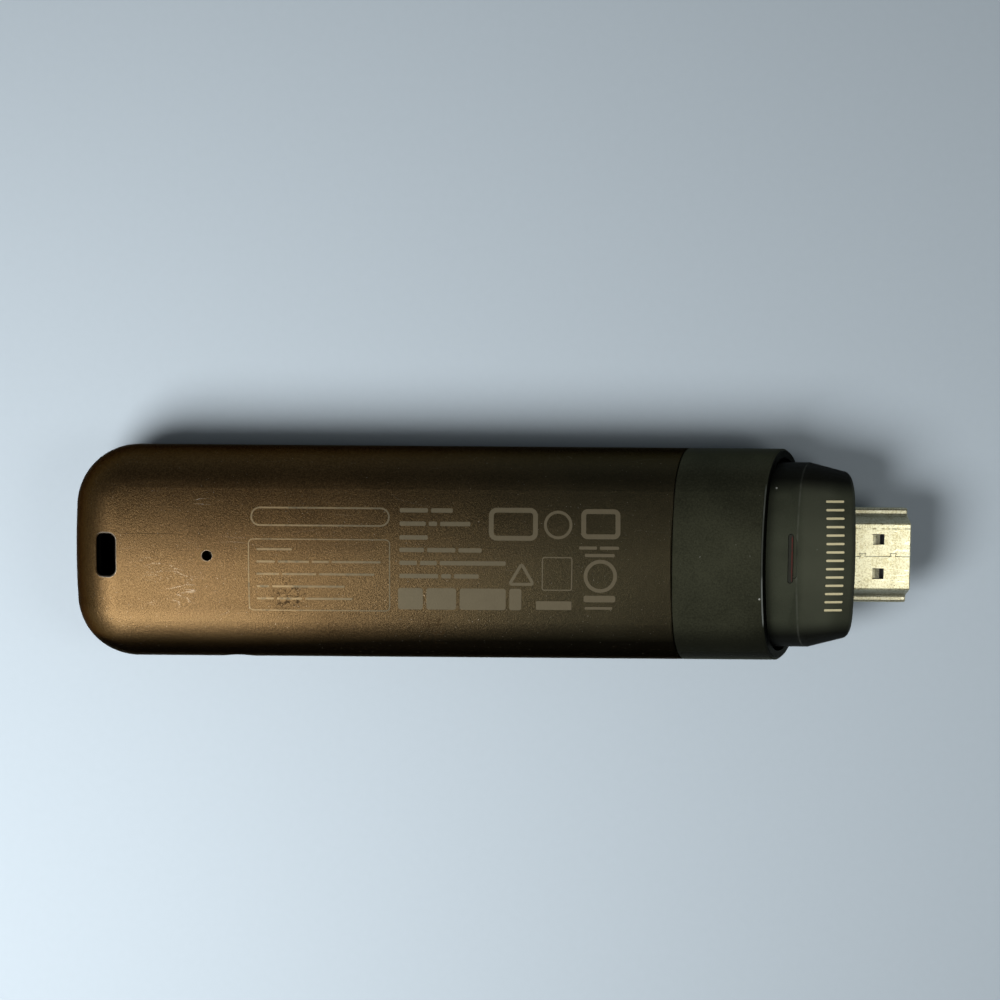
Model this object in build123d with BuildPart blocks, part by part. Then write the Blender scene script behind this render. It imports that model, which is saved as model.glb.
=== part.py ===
from build123d import *
import math
import os

# HDMI stick computer, lying label side up on its flat underside.
# Millimetres. X runs along the stick from the closed end to the plug, Z is up,
# and the origin lies on the resting plane under the middle of the overall length.

# Outer form of the whole stick
overall_length = 121.2
body_width = 31.0
body_height = 17.0
crown_radius = 45.0
plan_corner_extra = 0.3
side_flat = 0.1
overrun = 5.0

# Lengths along the crown line, from the plug's tip back to the seam
plug_reach = 8.7
head_reach = 14.0
collar_length = 12.9
mouth_slope = 0.53
seam_slope = 0.40
seam_gap = 0.12
edge_break = 0.12

# Body shell
shell_wall = 1.2
slot_setback = 5.95
slot_length = 6.0
slot_width = 2.8
slot_corner = 1.0
slot_bevel = 0.2
rim_share = 0.7
pinhole_setback = 20.3
pinhole_diameter = 1.3
pinhole_bevel = 0.1

# Collar over the antennas
lip_play = 0.1
lip_wall = 1.0
lip_reach = 2.5
lip_root = 1.5
mouth_bevel = 0.3

# Connector head, a fixed spigot that takes the missing cap
head_inset = 1.95
head_wall = 1.5
head_face_wall = 2.0
head_hidden = 9.0
head_side_taper = 1.45
head_top_taper = 1.05
head_low_taper = 0.55
break_crown_x_back = 8.8
break_slope = 0.473
head_edge_radius = 0.9
catch_window_back = 9.64
catch_window_length = 7.1
catch_window_width = 0.8
catch_lip_length = 5.8
catch_lip_width = 0.55
catch_lip_depth = 0.3
catch_plate_length = 9.0
catch_plate_width = 4.0
catch_plate_thickness = 0.8
catch_plate_gap = 0.45
catch_play = 0.08
catch_recess = 0.12

# Plug
plug_width = 13.9
plug_height = 4.45
plug_face_width = 9.7
plug_shoulder_width = 11.9
plug_shoulder_height = 2.4
plug_corner = 0.4
plug_wall = 0.3
plug_root = 5.6
plug_play = 0.1
plug_window_setback = 4.7
plug_window_pitch = 5.0
plug_window_length = 1.65
plug_window_width = 1.55
tab_length = 1.05
tab_width = 1.3
tab_drop = 0.3
seam_slit = 0.08
dovetail_setbacks = (2.55, 7.0)
dovetail_length = 0.6
dovetail_flare = 0.15
dovetail_side = 0.45
plug_leg_length = 3.0
plug_leg_height = 2.4
insulator_play = 0.05
insulator_recess = 1.2
insulator_floor = 1.5
tongue_slot_width = 10.2
contact_pitch = 1.0
contact_width = 0.45
contact_thickness = 0.15
contact_upper_count = 10
contact_tail = 2.0
contact_setback = 0.6
gasket_border = 1.075
gasket_thickness = 1.2

# Main board
board_thickness = 1.0
board_side_gap = 3.2
board_setback = 4.8
board_corner = 1.5
neck_side_gap = 5.9
neck_play = 0.8
notch_play = 0.15

# Chassis tray
tray_play = 0.25
tray_wall = 1.0
tray_setback = 4.6
tray_front_play = 0.9
boss_diameter = 4.0
boss_hole_depth = 4.2
tray_boss_side_gap = 6.0
tray_back_boss_setback = 10.6
tray_front_boss_back = 13.0
head_boss_side_gap = 8.3
head_boss_back = 13.4
sheet_length = 62.0
sheet_side_gap = 9.0
sheet_thickness = 0.15
sheet_centre_setback = 47.6

# Screws
screw_diameter = 1.6
screw_length = 4.8
screw_head_diameter = 2.8
screw_head_height = 0.8
screw_recess_width = 0.4
screw_recess_length = 1.7
screw_recess_depth = 0.4
screw_hole_play = 0.1

# Processor group: its shield ends behind the seam, and the rest is placed in shares of the shield
shield_front_back = 16.0
shield_length = 34.0
shield_side_gap = 4.2
shield_height = 2.1
shield_sheet = 0.3
shield_lid_sheet = 0.2
shield_corner = 0.8
lid_hole_diameter = 1.0
lid_hole_pitch = 4.0
lid_hole_columns = 3
lid_hole_rows = 4
lid_hole_shift_share = -0.353
soc_shift_share = 0.1765
soc_size = 14.0
soc_height = 1.2
die_size = 8.0
die_height = 0.2
memory_shift_share = -0.294
memory_length = 9.0
memory_inner_gap = 1.2
memory_outer_gap = 1.8
memory_height = 1.0
pad_size = 12.0
lid_pad_thickness = 0.5
spreader_play = 0.25
spreader_thickness = 1.5
spreader_overlap = 1.0
spreader_side_gap = 5.0
spreader_foot_size = 14.0
spreader_low_gap = 0.9
spreader_groove_width = 1.2
spreader_groove_depth = 0.6
spreader_groove_count = 8

# Parts on the underside of the board
storage_shift_share = 0.2355
storage_length = 11.5
storage_width = 13.0
storage_height = 1.0
power_chip_shift_share = -0.1765
power_chip_side = -5.0
power_chip_size = 6.0
power_chip_height = 0.9
flash_shift_share = -0.1765
flash_side = 5.5
flash_length = 5.0
flash_width = 4.0
flash_height = 1.5
flash_lead_reach = 1.0
flash_lead_width = 0.4
flash_lead_pitch = 1.27
flash_lead_count = 4
flash_lead_thickness = 0.2
tantalum_setback = 24.6
tantalum_board_gap = 2.4
tantalum_length = 3.5
tantalum_width = 2.8
tantalum_height = 1.9
tantalum_pitch = 5.0
chip_cap_back = 6.0
chip_cap_length = 1.6
chip_cap_width = 0.8
chip_cap_height = 0.8
chip_cap_pitch_x = 2.6
chip_cap_pitch_y = 2.4
chip_cap_columns = 4
chip_cap_rows = 4
led_setback = 33.6
led_length = 1.6
led_width = 0.8
led_height = 0.6
pipe_tip_diameter = 1.2
pipe_stem_diameter = 1.6
pipe_flange_diameter = 3.0
pipe_flange_height = 0.6
pipe_gap = 0.2
pipe_hole_play = 0.1
pipe_recess = 0.15

# Parts on the top of the board
inductor_setback = 26.6
inductor_board_gap = 2.3
inductor_size = 4.0
inductor_height = 2.0
inductor_pitch = 6.0
inductor_corner = 0.8
crystal_setback = 30.6
crystal_side = -1.0
crystal_length = 3.2
crystal_width = 2.5
crystal_height = 0.7
crystal_pitch = 4.0
driver_chip_back = 12.6
driver_chip_size = 4.0
driver_chip_height = 0.9

# Radio module, its can, sockets, leads and antennas
radio_back = 7.0
radio_length = 13.0
radio_width = 12.0
radio_board_height = 0.8
radio_can_length = 8.6
radio_can_height = 1.5
radio_can_margin = 0.4
coax_socket_diameter = 2.0
coax_socket_height = 1.2
coax_socket_spread = 6.0
coax_socket_front = 1.5
coax_diameter = 0.8
coax_bend_share = 0.45
antenna_length = 7.5
antenna_width = 3.5
antenna_sheet = 0.3
antenna_height = 3.6
antenna_side_gap = 7.0
antenna_ahead = 1.6
antenna_feed_share = 0.75
antenna_leg_width = 1.5

# Recovery switch under the pinhole
switch_size = 4.4
switch_height = 1.6
switch_floor = 0.2
switch_cover = 0.3
switch_bore_diameter = 3.4
plunger_diameter = 2.0
plunger_flange_diameter = 3.0
plunger_flange_height = 0.3
plunger_rise = 0.8
plunger_play = 0.1
plunger_top_gap = 0.05
plunger_travel = 0.25
dome_diameter = 2.6
dome_thickness = 0.1
dome_gap = 0.05

# Power jack in the long side
jack_setback = 23.6
jack_block_length = 8.4
jack_middle_gap = 4.6
jack_block_height = 6.0
jack_front_gap = 2.3
jack_nose_diameter = 5.2
jack_nose_recess = 0.5
jack_bore_diameter = 4.1
jack_floor_wall = 2.0
jack_pin_diameter = 1.35
jack_pin_root_diameter = 2.2
jack_pin_recess = 1.2
jack_pin_tail = 0.1
jack_hole_play = 0.15
jack_ear_length = 1.5
jack_ear_depth = 3.0
jack_ear_height = 0.6
jack_spring_width = 1.4
jack_spring_thickness = 0.25
jack_spring_front_gap = 2.4

# Socket in the closed end
usb_inner_width = 12.5
usb_inner_height = 5.12
usb_wall = 0.3
usb_depth = 14.0
usb_corner = 0.6
usb_recess = 0.7
usb_window_play = 0.15
usb_tongue_width = 11.1
usb_tongue_thickness = 1.84
usb_tongue_recess = 1.6
usb_tongue_edge = 0.3
usb_base_depth = 5.0
usb_base_play = 0.05
usb_contact_shares = (-0.35, -0.1, 0.1, 0.35)
usb_contact_width = 1.0
usb_contact_thickness = 0.2
usb_contact_front = 1.0
usb_contact_tail = 1.5
usb_ear_reach = 1.3
usb_ear_length = 3.0
usb_ear_back = 4.0

# Steel plate behind the security slot
lock_plate_gap = 0.1
lock_plate_thickness = 0.9
lock_plate_length = 7.6
lock_plate_width = 12.0
lock_plate_offset = 0.85
lock_plate_drop = 4.0

# Planes, levels and stations worked out from the sizes above
half_width = body_width / 2
mid_height = body_height / 2
closed_end_x = -overall_length / 2
plug_tip_x = overall_length / 2
head_face_x = plug_tip_x - plug_reach
mouth_crown_x = head_face_x - head_reach
seam_crown_x = mouth_crown_x - collar_length
far_x = plug_tip_x + overrun
crown_rise = body_height - mid_height
shoulder_radius = (
    2 * crown_rise * crown_radius - half_width**2 - crown_rise**2
) / (2 * (crown_radius - half_width)) - side_flat / 2
belly_radius = mid_height - side_flat
collar_wall = shell_wall + lip_play
board_bottom = mid_height - board_thickness / 2
board_top = mid_height + board_thickness / 2
slot_x = closed_end_x + slot_setback
pinhole_x = closed_end_x + pinhole_setback
jack_x = closed_end_x + jack_setback
led_x = closed_end_x + led_setback
shield_x = seam_crown_x - shield_front_back - shield_length / 2
soc_x = shield_x + soc_shift_share * shield_length
radio_x = seam_crown_x - radio_back
board_half = body_width / 2 - board_side_gap
neck_half = body_width / 2 - neck_side_gap
shield_width = body_width - 2 * shield_side_gap
spreader_width = body_width - 2 * spreader_side_gap
spreader_length = shield_length + 2 * spreader_overlap
plug_back_x = head_face_x - plug_root
tray_inset = shell_wall + tray_play
tray_floor = tray_inset + tray_wall


def slant_x(crown_x, slope, height):
    """Where a slanted cut through the crown line at crown_x lies at a height."""
    return crown_x + slope * (body_height - height)


def slanted(crown_x, slope):
    """Plane through the crown line at crown_x that runs forward as it goes down."""
    return Plane(origin=(crown_x, 0, body_height), x_dir=(0, 1, 0), z_dir=(1, 0, slope))


def oval_block(inset, front_x):
    """The stick's rounded form, drawn in by inset all round, from the closed end to front_x."""
    back_x = closed_end_x + inset
    side = half_width - inset
    with BuildPart() as block:
        with BuildSketch(Plane.XY.offset(inset)) as plan:
            with BuildLine():
                Polyline((front_x, -side), (front_x, side), (back_x, side), (back_x, -side), close=True)
            make_face()
            fillet(plan.vertices().group_by(Axis.X)[0], mid_height + plan_corner_extra - inset)
        extrude(amount=body_height)
        with BuildSketch(Plane.YZ.offset(closed_end_x - overrun)):
            with Locations((0, body_height - crown_radius)):
                Circle(crown_radius - inset)
        extrude(amount=front_x - closed_end_x + 2 * overrun, mode=Mode.INTERSECT)
        crown_edges = block.faces().sort_by(Axis.Z)[-1].edges().sort_by(Axis.X)[:-1]
        fillet(crown_edges, shoulder_radius - inset)
        floor_edges = block.faces().sort_by(Axis.Z)[0].edges().sort_by(Axis.X)[:-1]
        fillet(floor_edges, belly_radius - inset)
    return block.part


def sleeve(outer_inset, inner_inset, back_plane, front_plane):
    """A ring of the rounded form between two insets and two slanted planes."""
    outer = oval_block(outer_inset, far_x)
    inner = oval_block(inner_inset, far_x + overrun)
    with BuildPart() as ring:
        add(outer)
        add(inner, mode=Mode.SUBTRACT)
        split(bisect_by=back_plane, keep=Keep.TOP)
        split(bisect_by=front_plane, keep=Keep.BOTTOM)
    return ring.part


def head_section(station_x, side, low, high, radius):
    """A crowned section of the head on a YZ plane, its shoulders and belly meeting at mid height."""
    rise = high - mid_height
    shoulder = (2 * rise * radius - side**2 - rise**2) / (2 * (radius - side)) - side_flat / 2
    side_top = high - radius + math.sqrt(radius**2 - side**2)
    with BuildSketch(Plane.YZ.offset(station_x)) as section:
        with BuildLine():
            Polyline((side, side_top), (side, low), (-side, low), (-side, side_top))
            ThreePointArc((-side, side_top), (0, high), (side, side_top))
        make_face()
        fillet(section.vertices().group_by(Axis.Y)[-1], shoulder)
        fillet(section.vertices().group_by(Axis.Y)[0], mid_height - low - side_flat)
    return section.sketch


def head_form(inset, face_x):
    """The head's outer form, drawn in by inset and cut off at face_x: straight, then tapered."""
    prism = oval_block(head_inset + inset, face_x)
    side = half_width - head_inset
    side_rate = head_side_taper / (head_face_x - break_side_x)
    top_rate = head_top_taper / (head_face_x - break_crown_x)
    low_rate = head_low_taper / (head_face_x - break_under_x)
    stations = []
    for ahead in (head_reach + head_hidden + overrun, 0):
        section = head_section(
            head_face_x - ahead,
            side - head_side_taper + side_rate * ahead - inset,
            head_inset + head_low_taper - low_rate * ahead + inset,
            head_top - head_top_taper + top_rate * ahead - inset,
            crown_radius - head_inset - inset,
        )
        stations.append(section)
    with BuildPart() as taper:
        for section in stations:
            add(section)
        loft(ruled=True)
    with BuildPart() as form:
        add(prism)
        add(taper.part, mode=Mode.INTERSECT)
    return form.part


def side_plane(out):
    """Plane at a distance from the middle line towards -Y. A positive amount extrudes that way."""
    return Plane.XZ.offset(out)


def plug_profile(inset):
    """Section of the plug: wide below the shoulders, narrow above, drawn in by inset."""
    half = plug_width / 2
    low = mid_height - plug_height / 2
    shoulder_z = low + plug_shoulder_height
    top = mid_height + plug_height / 2
    with BuildSketch() as profile:
        with BuildLine():
            Polyline(
                (-half, low),
                (half, low),
                (half, shoulder_z),
                (plug_shoulder_width / 2, shoulder_z),
                (plug_face_width / 2, top),
                (-plug_face_width / 2, top),
                (-plug_shoulder_width / 2, shoulder_z),
                (-half, shoulder_z),
                close=True,
            )
        make_face()
        fillet(profile.vertices(), plug_corner)
        if inset:
            offset(amount=-inset, kind=Kind.INTERSECTION)
    return profile.sketch


def chips(size, places, level, up=1, corner=0):
    """Like flat components on one face of the board, standing on level, upwards or downwards."""
    length, width, height = size
    with BuildPart() as group:
        with BuildSketch(Plane.XY.offset(level)) as plan:
            with Locations(*places):
                Rectangle(length, width)
            if corner:
                fillet(plan.vertices(), corner)
        extrude(amount=up * height)
    return group


def grid(centre, pitch_x, pitch_y, columns, rows):
    """Middles of a grid of like components round a centre."""
    places = []
    for column in range(columns):
        for row in range(rows):
            x = centre[0] + pitch_x * (column - (columns - 1) / 2)
            y = centre[1] + pitch_y * (row - (rows - 1) / 2)
            places.append((x, y))
    return places


def mirrored(x, y):
    """A place and its twin across the stick's middle line."""
    return [(x, y), (x, -y)]


head_top = body_height - head_inset
break_crown_x = head_face_x - break_crown_x_back
break_side_x = break_crown_x + break_slope * (head_top - mid_height)
break_under_x = break_crown_x + break_slope * (head_top - head_inset)
seam_plane = slanted(seam_crown_x, seam_slope)
mouth_plane = slanted(mouth_crown_x, mouth_slope)
tray_screws = mirrored(closed_end_x + tray_back_boss_setback, half_width - tray_boss_side_gap)
tray_screws += mirrored(seam_crown_x - tray_front_boss_back, half_width - tray_boss_side_gap)
head_screws = mirrored(head_face_x - head_boss_back, half_width - head_boss_side_gap)
jack_front_y = half_width - jack_front_gap
jack_back_y = jack_middle_gap
usb_front_x = closed_end_x + usb_recess
usb_back_x = usb_front_x + usb_depth
usb_outer_width = usb_inner_width + 2 * usb_wall
usb_outer_height = usb_inner_height + 2 * usb_wall
outer_solid = oval_block(0, far_x)
rim_low = body_height - shell_wall * rim_share

# Body shell: one deep sleeve with a closed, rounded end
shell_hollow = oval_block(shell_wall, far_x + overrun)
with BuildPart() as body_shell:
    add(outer_solid)
    split(bisect_by=seam_plane, keep=Keep.BOTTOM)
    seam_edges = body_shell.faces().sort_by(Axis.X)[-1].edges()
    chamfer(seam_edges, edge_break)
    add(shell_hollow, mode=Mode.SUBTRACT)
    with BuildSketch(Plane.XY.offset(mid_height + crown_rise / 2)):
        with Locations((slot_x, 0)):
            RectangleRounded(slot_width, slot_length, slot_corner)
    extrude(amount=body_height, mode=Mode.SUBTRACT)
    slot_rim = body_shell.edges(Select.LAST).filter_by_position(Axis.Z, rim_low, body_height)
    chamfer(slot_rim, slot_bevel)
    with BuildSketch(Plane.XY.offset(mid_height + crown_rise / 2)):
        with Locations((pinhole_x, 0)):
            Circle(pinhole_diameter / 2)
    extrude(amount=body_height, mode=Mode.SUBTRACT)
    pinhole_rim = body_shell.edges(Select.LAST).filter_by_position(Axis.Z, rim_low, body_height)
    chamfer(pinhole_rim, pinhole_bevel)
    with BuildSketch(Plane.XY.offset(-overrun)):
        with Locations((led_x, 0)):
            Circle(pipe_tip_diameter / 2 + pipe_hole_play)
    extrude(amount=overrun + shell_wall + side_flat, mode=Mode.SUBTRACT)
    with BuildSketch(Plane.YZ.offset(closed_end_x - overrun)):
        with Locations((0, mid_height)):
            RectangleRounded(
                usb_outer_width + 2 * usb_window_play,
                usb_outer_height + 2 * usb_window_play,
                usb_corner + usb_window_play,
            )
    extrude(amount=2 * overrun, mode=Mode.SUBTRACT)
    with BuildSketch(side_plane(jack_front_y)):
        with Locations((jack_x, mid_height)):
            Circle(jack_nose_diameter / 2 + jack_hole_play)
    extrude(amount=2 * overrun, mode=Mode.SUBTRACT)
body_shell.part.label = "body_shell"

# Collar: the radio window of the housing, with a lip that registers in the shell
collar_ring = sleeve(0, collar_wall, slanted(seam_crown_x + seam_gap, seam_slope), mouth_plane)
lip_ring = sleeve(
    collar_wall,
    collar_wall + lip_wall,
    slanted(seam_crown_x - lip_reach, seam_slope),
    slanted(seam_crown_x + lip_root, seam_slope),
)
with BuildPart() as antenna_collar:
    add(collar_ring)
    mouth_edges = antenna_collar.faces().sort_by(Axis.X)[-1].outer_wire().edges()
    chamfer(mouth_edges, mouth_bevel)
    flats = antenna_collar.faces().filter_by(GeomType.PLANE)
    seam_edges = flats.sort_by(lambda face: face.normal_at().X)[0].outer_wire().edges()
    chamfer(seam_edges, edge_break)
    add(lip_ring)
antenna_collar.part.label = "antenna_collar"

# Connector head: a fixed spigot, straight inside the collar and tapered towards its face
head_outer = head_form(0, head_face_x)
head_inner = head_form(head_wall, head_face_x - head_face_wall)
with BuildPart() as head_posts:
    with BuildSketch(Plane.XY.offset(head_inset + head_wall / 2)):
        with Locations(*head_screws):
            Circle(boss_diameter / 2)
    extrude(amount=board_bottom - head_inset - head_wall / 2)
catch_x = head_face_x - catch_window_back
with BuildPart() as connector_head:
    add(head_outer)
    fillet(connector_head.faces().sort_by(Axis.X)[-1].edges(), head_edge_radius)
    add(head_inner, mode=Mode.SUBTRACT)
    split(bisect_by=slanted(mouth_crown_x - head_hidden, mouth_slope), keep=Keep.TOP)
    add(head_posts.part)
    with BuildSketch(Plane.XY.offset(board_bottom - boss_hole_depth)):
        with Locations(*head_screws):
            Circle((screw_diameter + screw_hole_play) / 2)
    extrude(amount=boss_hole_depth + overrun, mode=Mode.SUBTRACT)
    with BuildSketch(Plane.XY.offset(board_top + board_thickness)):
        with Locations((catch_x, 0)):
            SlotOverall(catch_window_length, catch_window_width, rotation=90)
    extrude(amount=body_height, mode=Mode.SUBTRACT)
    with BuildSketch(Plane.XY.offset(head_top - catch_lip_depth)):
        with Locations((catch_x + catch_window_width / 2, 0)):
            SlotOverall(catch_lip_length, 2 * catch_lip_width, rotation=90)
    extrude(amount=body_height, mode=Mode.SUBTRACT)
    with BuildSketch(Plane.YZ.offset(head_face_x - head_face_wall - overrun)):
        add(plug_profile(-plug_play))
    extrude(amount=head_face_wall + 2 * overrun, mode=Mode.SUBTRACT)
connector_head.part.label = "connector_head"

# Catch insert: its lug fills the window that the cap's latch snaps into
catch_top = head_top - head_wall - catch_plate_gap
with BuildPart() as cap_catch:
    with BuildSketch(Plane.XY.offset(catch_top - catch_plate_thickness)):
        with Locations((catch_x, 0)):
            RectangleRounded(catch_plate_width, catch_plate_length, catch_window_width)
    extrude(amount=catch_plate_thickness)
    with BuildSketch(Plane.XY.offset(catch_top - catch_plate_thickness)):
        with Locations((catch_x, 0)):
            SlotOverall(
                catch_window_length - 2 * catch_play, catch_window_width - 2 * catch_play, rotation=90
            )
    extrude(amount=head_top - catch_recess - catch_top + catch_plate_thickness)
cap_catch.part.label = "cap_catch"

# Plug shell: folded sheet with a dovetailed seam, latch windows and two legs on the board
plug_low = mid_height - plug_height / 2
plug_top = mid_height + plug_height / 2
plug_length = plug_tip_x - plug_back_x
plug_window_x = plug_tip_x - plug_window_setback
plug_windows = mirrored(plug_window_x, plug_window_pitch / 2)
tab_back_x = plug_window_x - plug_window_length / 2
leg_y = (plug_width - plug_wall) / 2
with BuildPart() as hdmi_plug_shell:
    with BuildSketch(Plane.YZ.offset(plug_back_x)):
        add(plug_profile(0))
    extrude(amount=plug_length)
    fillet(hdmi_plug_shell.faces().sort_by(Axis.X)[-1].edges(), plug_wall * rim_share)
    with BuildSketch(Plane.YZ.offset(plug_back_x - overrun)):
        add(plug_profile(plug_wall))
    extrude(amount=plug_length + 2 * overrun, mode=Mode.SUBTRACT)
    with BuildSketch(Plane.XY.offset(plug_low - overrun)):
        with Locations(*plug_windows):
            Rectangle(plug_window_length, plug_window_width)
    extrude(amount=plug_height + 2 * overrun, mode=Mode.SUBTRACT)
    with BuildSketch(Plane.XY.offset(mid_height)):
        with BuildLine():
            seam_points = [(plug_back_x - overrun, 0)]
            for setback in reversed(dovetail_setbacks):
                start_x = plug_tip_x - setback - dovetail_length / 2
                end_x = start_x + dovetail_length
                seam_points += [
                    (start_x, 0),
                    (start_x - dovetail_flare, dovetail_side),
                    (end_x + dovetail_flare, dovetail_side),
                    (end_x, 0),
                ]
            Polyline(*seam_points, (far_x, 0))
        trace(line_width=seam_slit)
    extrude(amount=plug_height, mode=Mode.SUBTRACT)
    for window_x, window_y in plug_windows:
        with BuildSketch(side_plane(-window_y)):
            with BuildLine():
                Polyline(
                    (tab_back_x - plug_wall, plug_top),
                    (tab_back_x, plug_top),
                    (tab_back_x + tab_length, plug_top - tab_drop),
                    (tab_back_x + tab_length, plug_top - tab_drop - plug_wall),
                    (tab_back_x, plug_top - plug_wall),
                    (tab_back_x - plug_wall, plug_top - plug_wall),
                    close=True,
                )
            make_face()
        extrude(amount=tab_width / 2, both=True)
    with BuildSketch(Plane.XY.offset(mid_height - plug_leg_height / 2)):
        with Locations(*mirrored(plug_back_x - plug_leg_length / 2, leg_y)):
            Rectangle(plug_leg_length, plug_wall)
    extrude(amount=plug_leg_height)
hdmi_plug_shell.part.label = "hdmi_plug_shell"

# Plug insulator and its two staggered rows of contacts, which straddle the board's edge
contact_rows = (
    (board_top, contact_upper_count),
    (board_bottom - contact_thickness, contact_upper_count - 1),
)
contact_front_x = plug_tip_x - insulator_recess - contact_setback
contact_back_x = plug_back_x - contact_tail
with BuildPart() as hdmi_contacts:
    for level, count in contact_rows:
        with BuildSketch(Plane.XY.offset(level)):
            with Locations(((contact_front_x + contact_back_x) / 2, 0)):
                with GridLocations(contact_pitch, contact_pitch, 1, count):
                    Rectangle(contact_front_x - contact_back_x, contact_width)
        extrude(amount=contact_thickness)
hdmi_contacts.part.label = "hdmi_contacts"
tongue_slot_height = board_thickness + 2 * contact_thickness
with BuildPart() as hdmi_insulator:
    with BuildSketch(Plane.YZ.offset(plug_back_x)):
        add(plug_profile(plug_wall + insulator_play))
    extrude(amount=plug_length - insulator_recess)
    with BuildSketch(Plane.YZ.offset(plug_back_x + insulator_floor)):
        with Locations((0, mid_height)):
            Rectangle(tongue_slot_width, tongue_slot_height)
    extrude(amount=plug_length, mode=Mode.SUBTRACT)
    for window_x, window_y in plug_windows:
        with BuildSketch(Plane.XY.offset(plug_top - tab_drop - 2 * plug_wall)):
            with Locations((window_x, window_y)):
                Rectangle(plug_window_length + plug_wall, plug_window_width)
        extrude(amount=overrun, mode=Mode.SUBTRACT)
    add(hdmi_contacts.part, mode=Mode.SUBTRACT)
hdmi_insulator.part.label = "hdmi_insulator"

# Foam gasket round the plug, against the inside of the head's face
with BuildPart() as plug_gasket:
    with BuildSketch(Plane.YZ.offset(head_face_x - head_face_wall - gasket_thickness)):
        with Locations((0, mid_height)):
            RectangleRounded(
                plug_width + 2 * gasket_border, plug_height + 2 * gasket_border, gasket_thickness
            )
        add(plug_profile(-insulator_play), mode=Mode.SUBTRACT)
    extrude(amount=gasket_thickness)
plug_gasket.part.label = "plug_gasket"

# Main board: full width in the shell, a neck in the head, notches for the two sockets
board_back_x = closed_end_x + board_setback
neck_x = slant_x(mouth_crown_x - head_hidden, mouth_slope, board_top) - neck_play
usb_notch_x = usb_back_x + notch_play
usb_notch_half = usb_outer_width / 2 + notch_play
jack_notch_half = jack_block_length / 2 + notch_play
with BuildPart() as main_board:
    with BuildSketch(Plane.XY.offset(board_bottom)) as board_plan:
        with BuildLine():
            Polyline(
                (board_back_x, usb_notch_half),
                (board_back_x, board_half),
                (neck_x, board_half),
                (neck_x, neck_half),
                (plug_back_x, neck_half),
                (plug_back_x, -neck_half),
                (neck_x, -neck_half),
                (neck_x, -board_half),
                (jack_x + jack_notch_half, -board_half),
                (jack_x + jack_notch_half, notch_play - jack_back_y),
                (jack_x - jack_notch_half, notch_play - jack_back_y),
                (jack_x - jack_notch_half, -board_half),
                (board_back_x, -board_half),
                (board_back_x, -usb_notch_half),
                (usb_notch_x, -usb_notch_half),
                (usb_notch_x, usb_notch_half),
                close=True,
            )
        make_face()
        outer_corners = board_plan.vertices().filter_by(lambda v: abs(v.Y) > neck_half + notch_play)
        fillet(outer_corners, board_corner)
        with Locations(*tray_screws, *head_screws):
            Circle((screw_diameter + screw_hole_play) / 2, mode=Mode.SUBTRACT)
        with Locations(*mirrored(plug_back_x, leg_y)):
            Rectangle(
                2 * (plug_leg_length + notch_play), plug_wall + 2 * notch_play, mode=Mode.SUBTRACT
            )
    extrude(amount=board_thickness)
main_board.part.label = "main_board"

# Chassis tray: a trough that follows the shell, with posts under the board
tray_outer = oval_block(tray_inset, far_x)
tray_inner = oval_block(tray_floor, far_x)
tray_back_x = closed_end_x + tray_setback
tray_front_x = slant_x(seam_crown_x, seam_slope, mid_height) - lip_reach - tray_front_play
with BuildPart() as tray_posts:
    with BuildSketch(Plane.XY.offset(tray_inset)):
        with Locations(*tray_screws):
            Circle(boss_diameter / 2)
    extrude(amount=board_bottom - tray_inset)
    add(tray_outer, mode=Mode.INTERSECT)
with BuildPart() as chassis_tray:
    add(tray_outer)
    add(tray_inner, mode=Mode.SUBTRACT)
    split(bisect_by=Plane.XY.offset(board_bottom), keep=Keep.BOTTOM)
    split(bisect_by=Plane.YZ.offset(tray_back_x), keep=Keep.TOP)
    split(bisect_by=Plane.YZ.offset(tray_front_x), keep=Keep.BOTTOM)
    with BuildSketch(Plane.XY.offset(board_bottom - jack_block_height / 2)):
        with Locations((jack_x, -half_width)):
            Rectangle(jack_block_length + 2 * tray_play, body_width / 2)
    extrude(amount=jack_block_height, mode=Mode.SUBTRACT)
    add(tray_posts.part)
    with BuildSketch(Plane.XY.offset(board_bottom - boss_hole_depth)):
        with Locations(*tray_screws):
            Circle((screw_diameter + screw_hole_play) / 2)
    extrude(amount=boss_hole_depth, mode=Mode.SUBTRACT)
    with BuildSketch(Plane.XY):
        with Locations((led_x, 0)):
            Circle(pipe_tip_diameter / 2 + pipe_hole_play)
    extrude(amount=tray_floor, mode=Mode.SUBTRACT)
chassis_tray.part.label = "chassis_tray"

# Insulating film on the tray's floor, clear of the light pipe
with BuildPart() as insulating_film:
    with BuildSketch(Plane.XY.offset(tray_floor)):
        with Locations((closed_end_x + sheet_centre_setback, 0)):
            Rectangle(sheet_length, body_width - 2 * sheet_side_gap)
        with Locations((led_x, 0)):
            Circle(pipe_flange_diameter / 2 + pipe_hole_play, mode=Mode.SUBTRACT)
    extrude(amount=sheet_thickness)
insulating_film.part.label = "insulating_film"

# Board screws: four into the tray and two into the head
with BuildPart() as board_screws:
    with BuildSketch(Plane.XY.offset(board_top)):
        with Locations(*tray_screws, *head_screws):
            Circle(screw_head_diameter / 2)
    extrude(amount=screw_head_height)
    fillet(board_screws.edges().group_by(Axis.Z)[-1], screw_head_height / 2)
    with BuildSketch(Plane.XY.offset(board_top)):
        with Locations(*tray_screws, *head_screws):
            Circle(screw_diameter / 2)
    extrude(amount=-screw_length)
    with BuildSketch(Plane.XY.offset(board_top + screw_head_height - screw_recess_depth)):
        with Locations(*tray_screws, *head_screws):
            Rectangle(screw_recess_width, screw_recess_length)
            Rectangle(screw_recess_length, screw_recess_width)
    extrude(amount=screw_head_height, mode=Mode.SUBTRACT)
board_screws.part.label = "board_screws"

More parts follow.
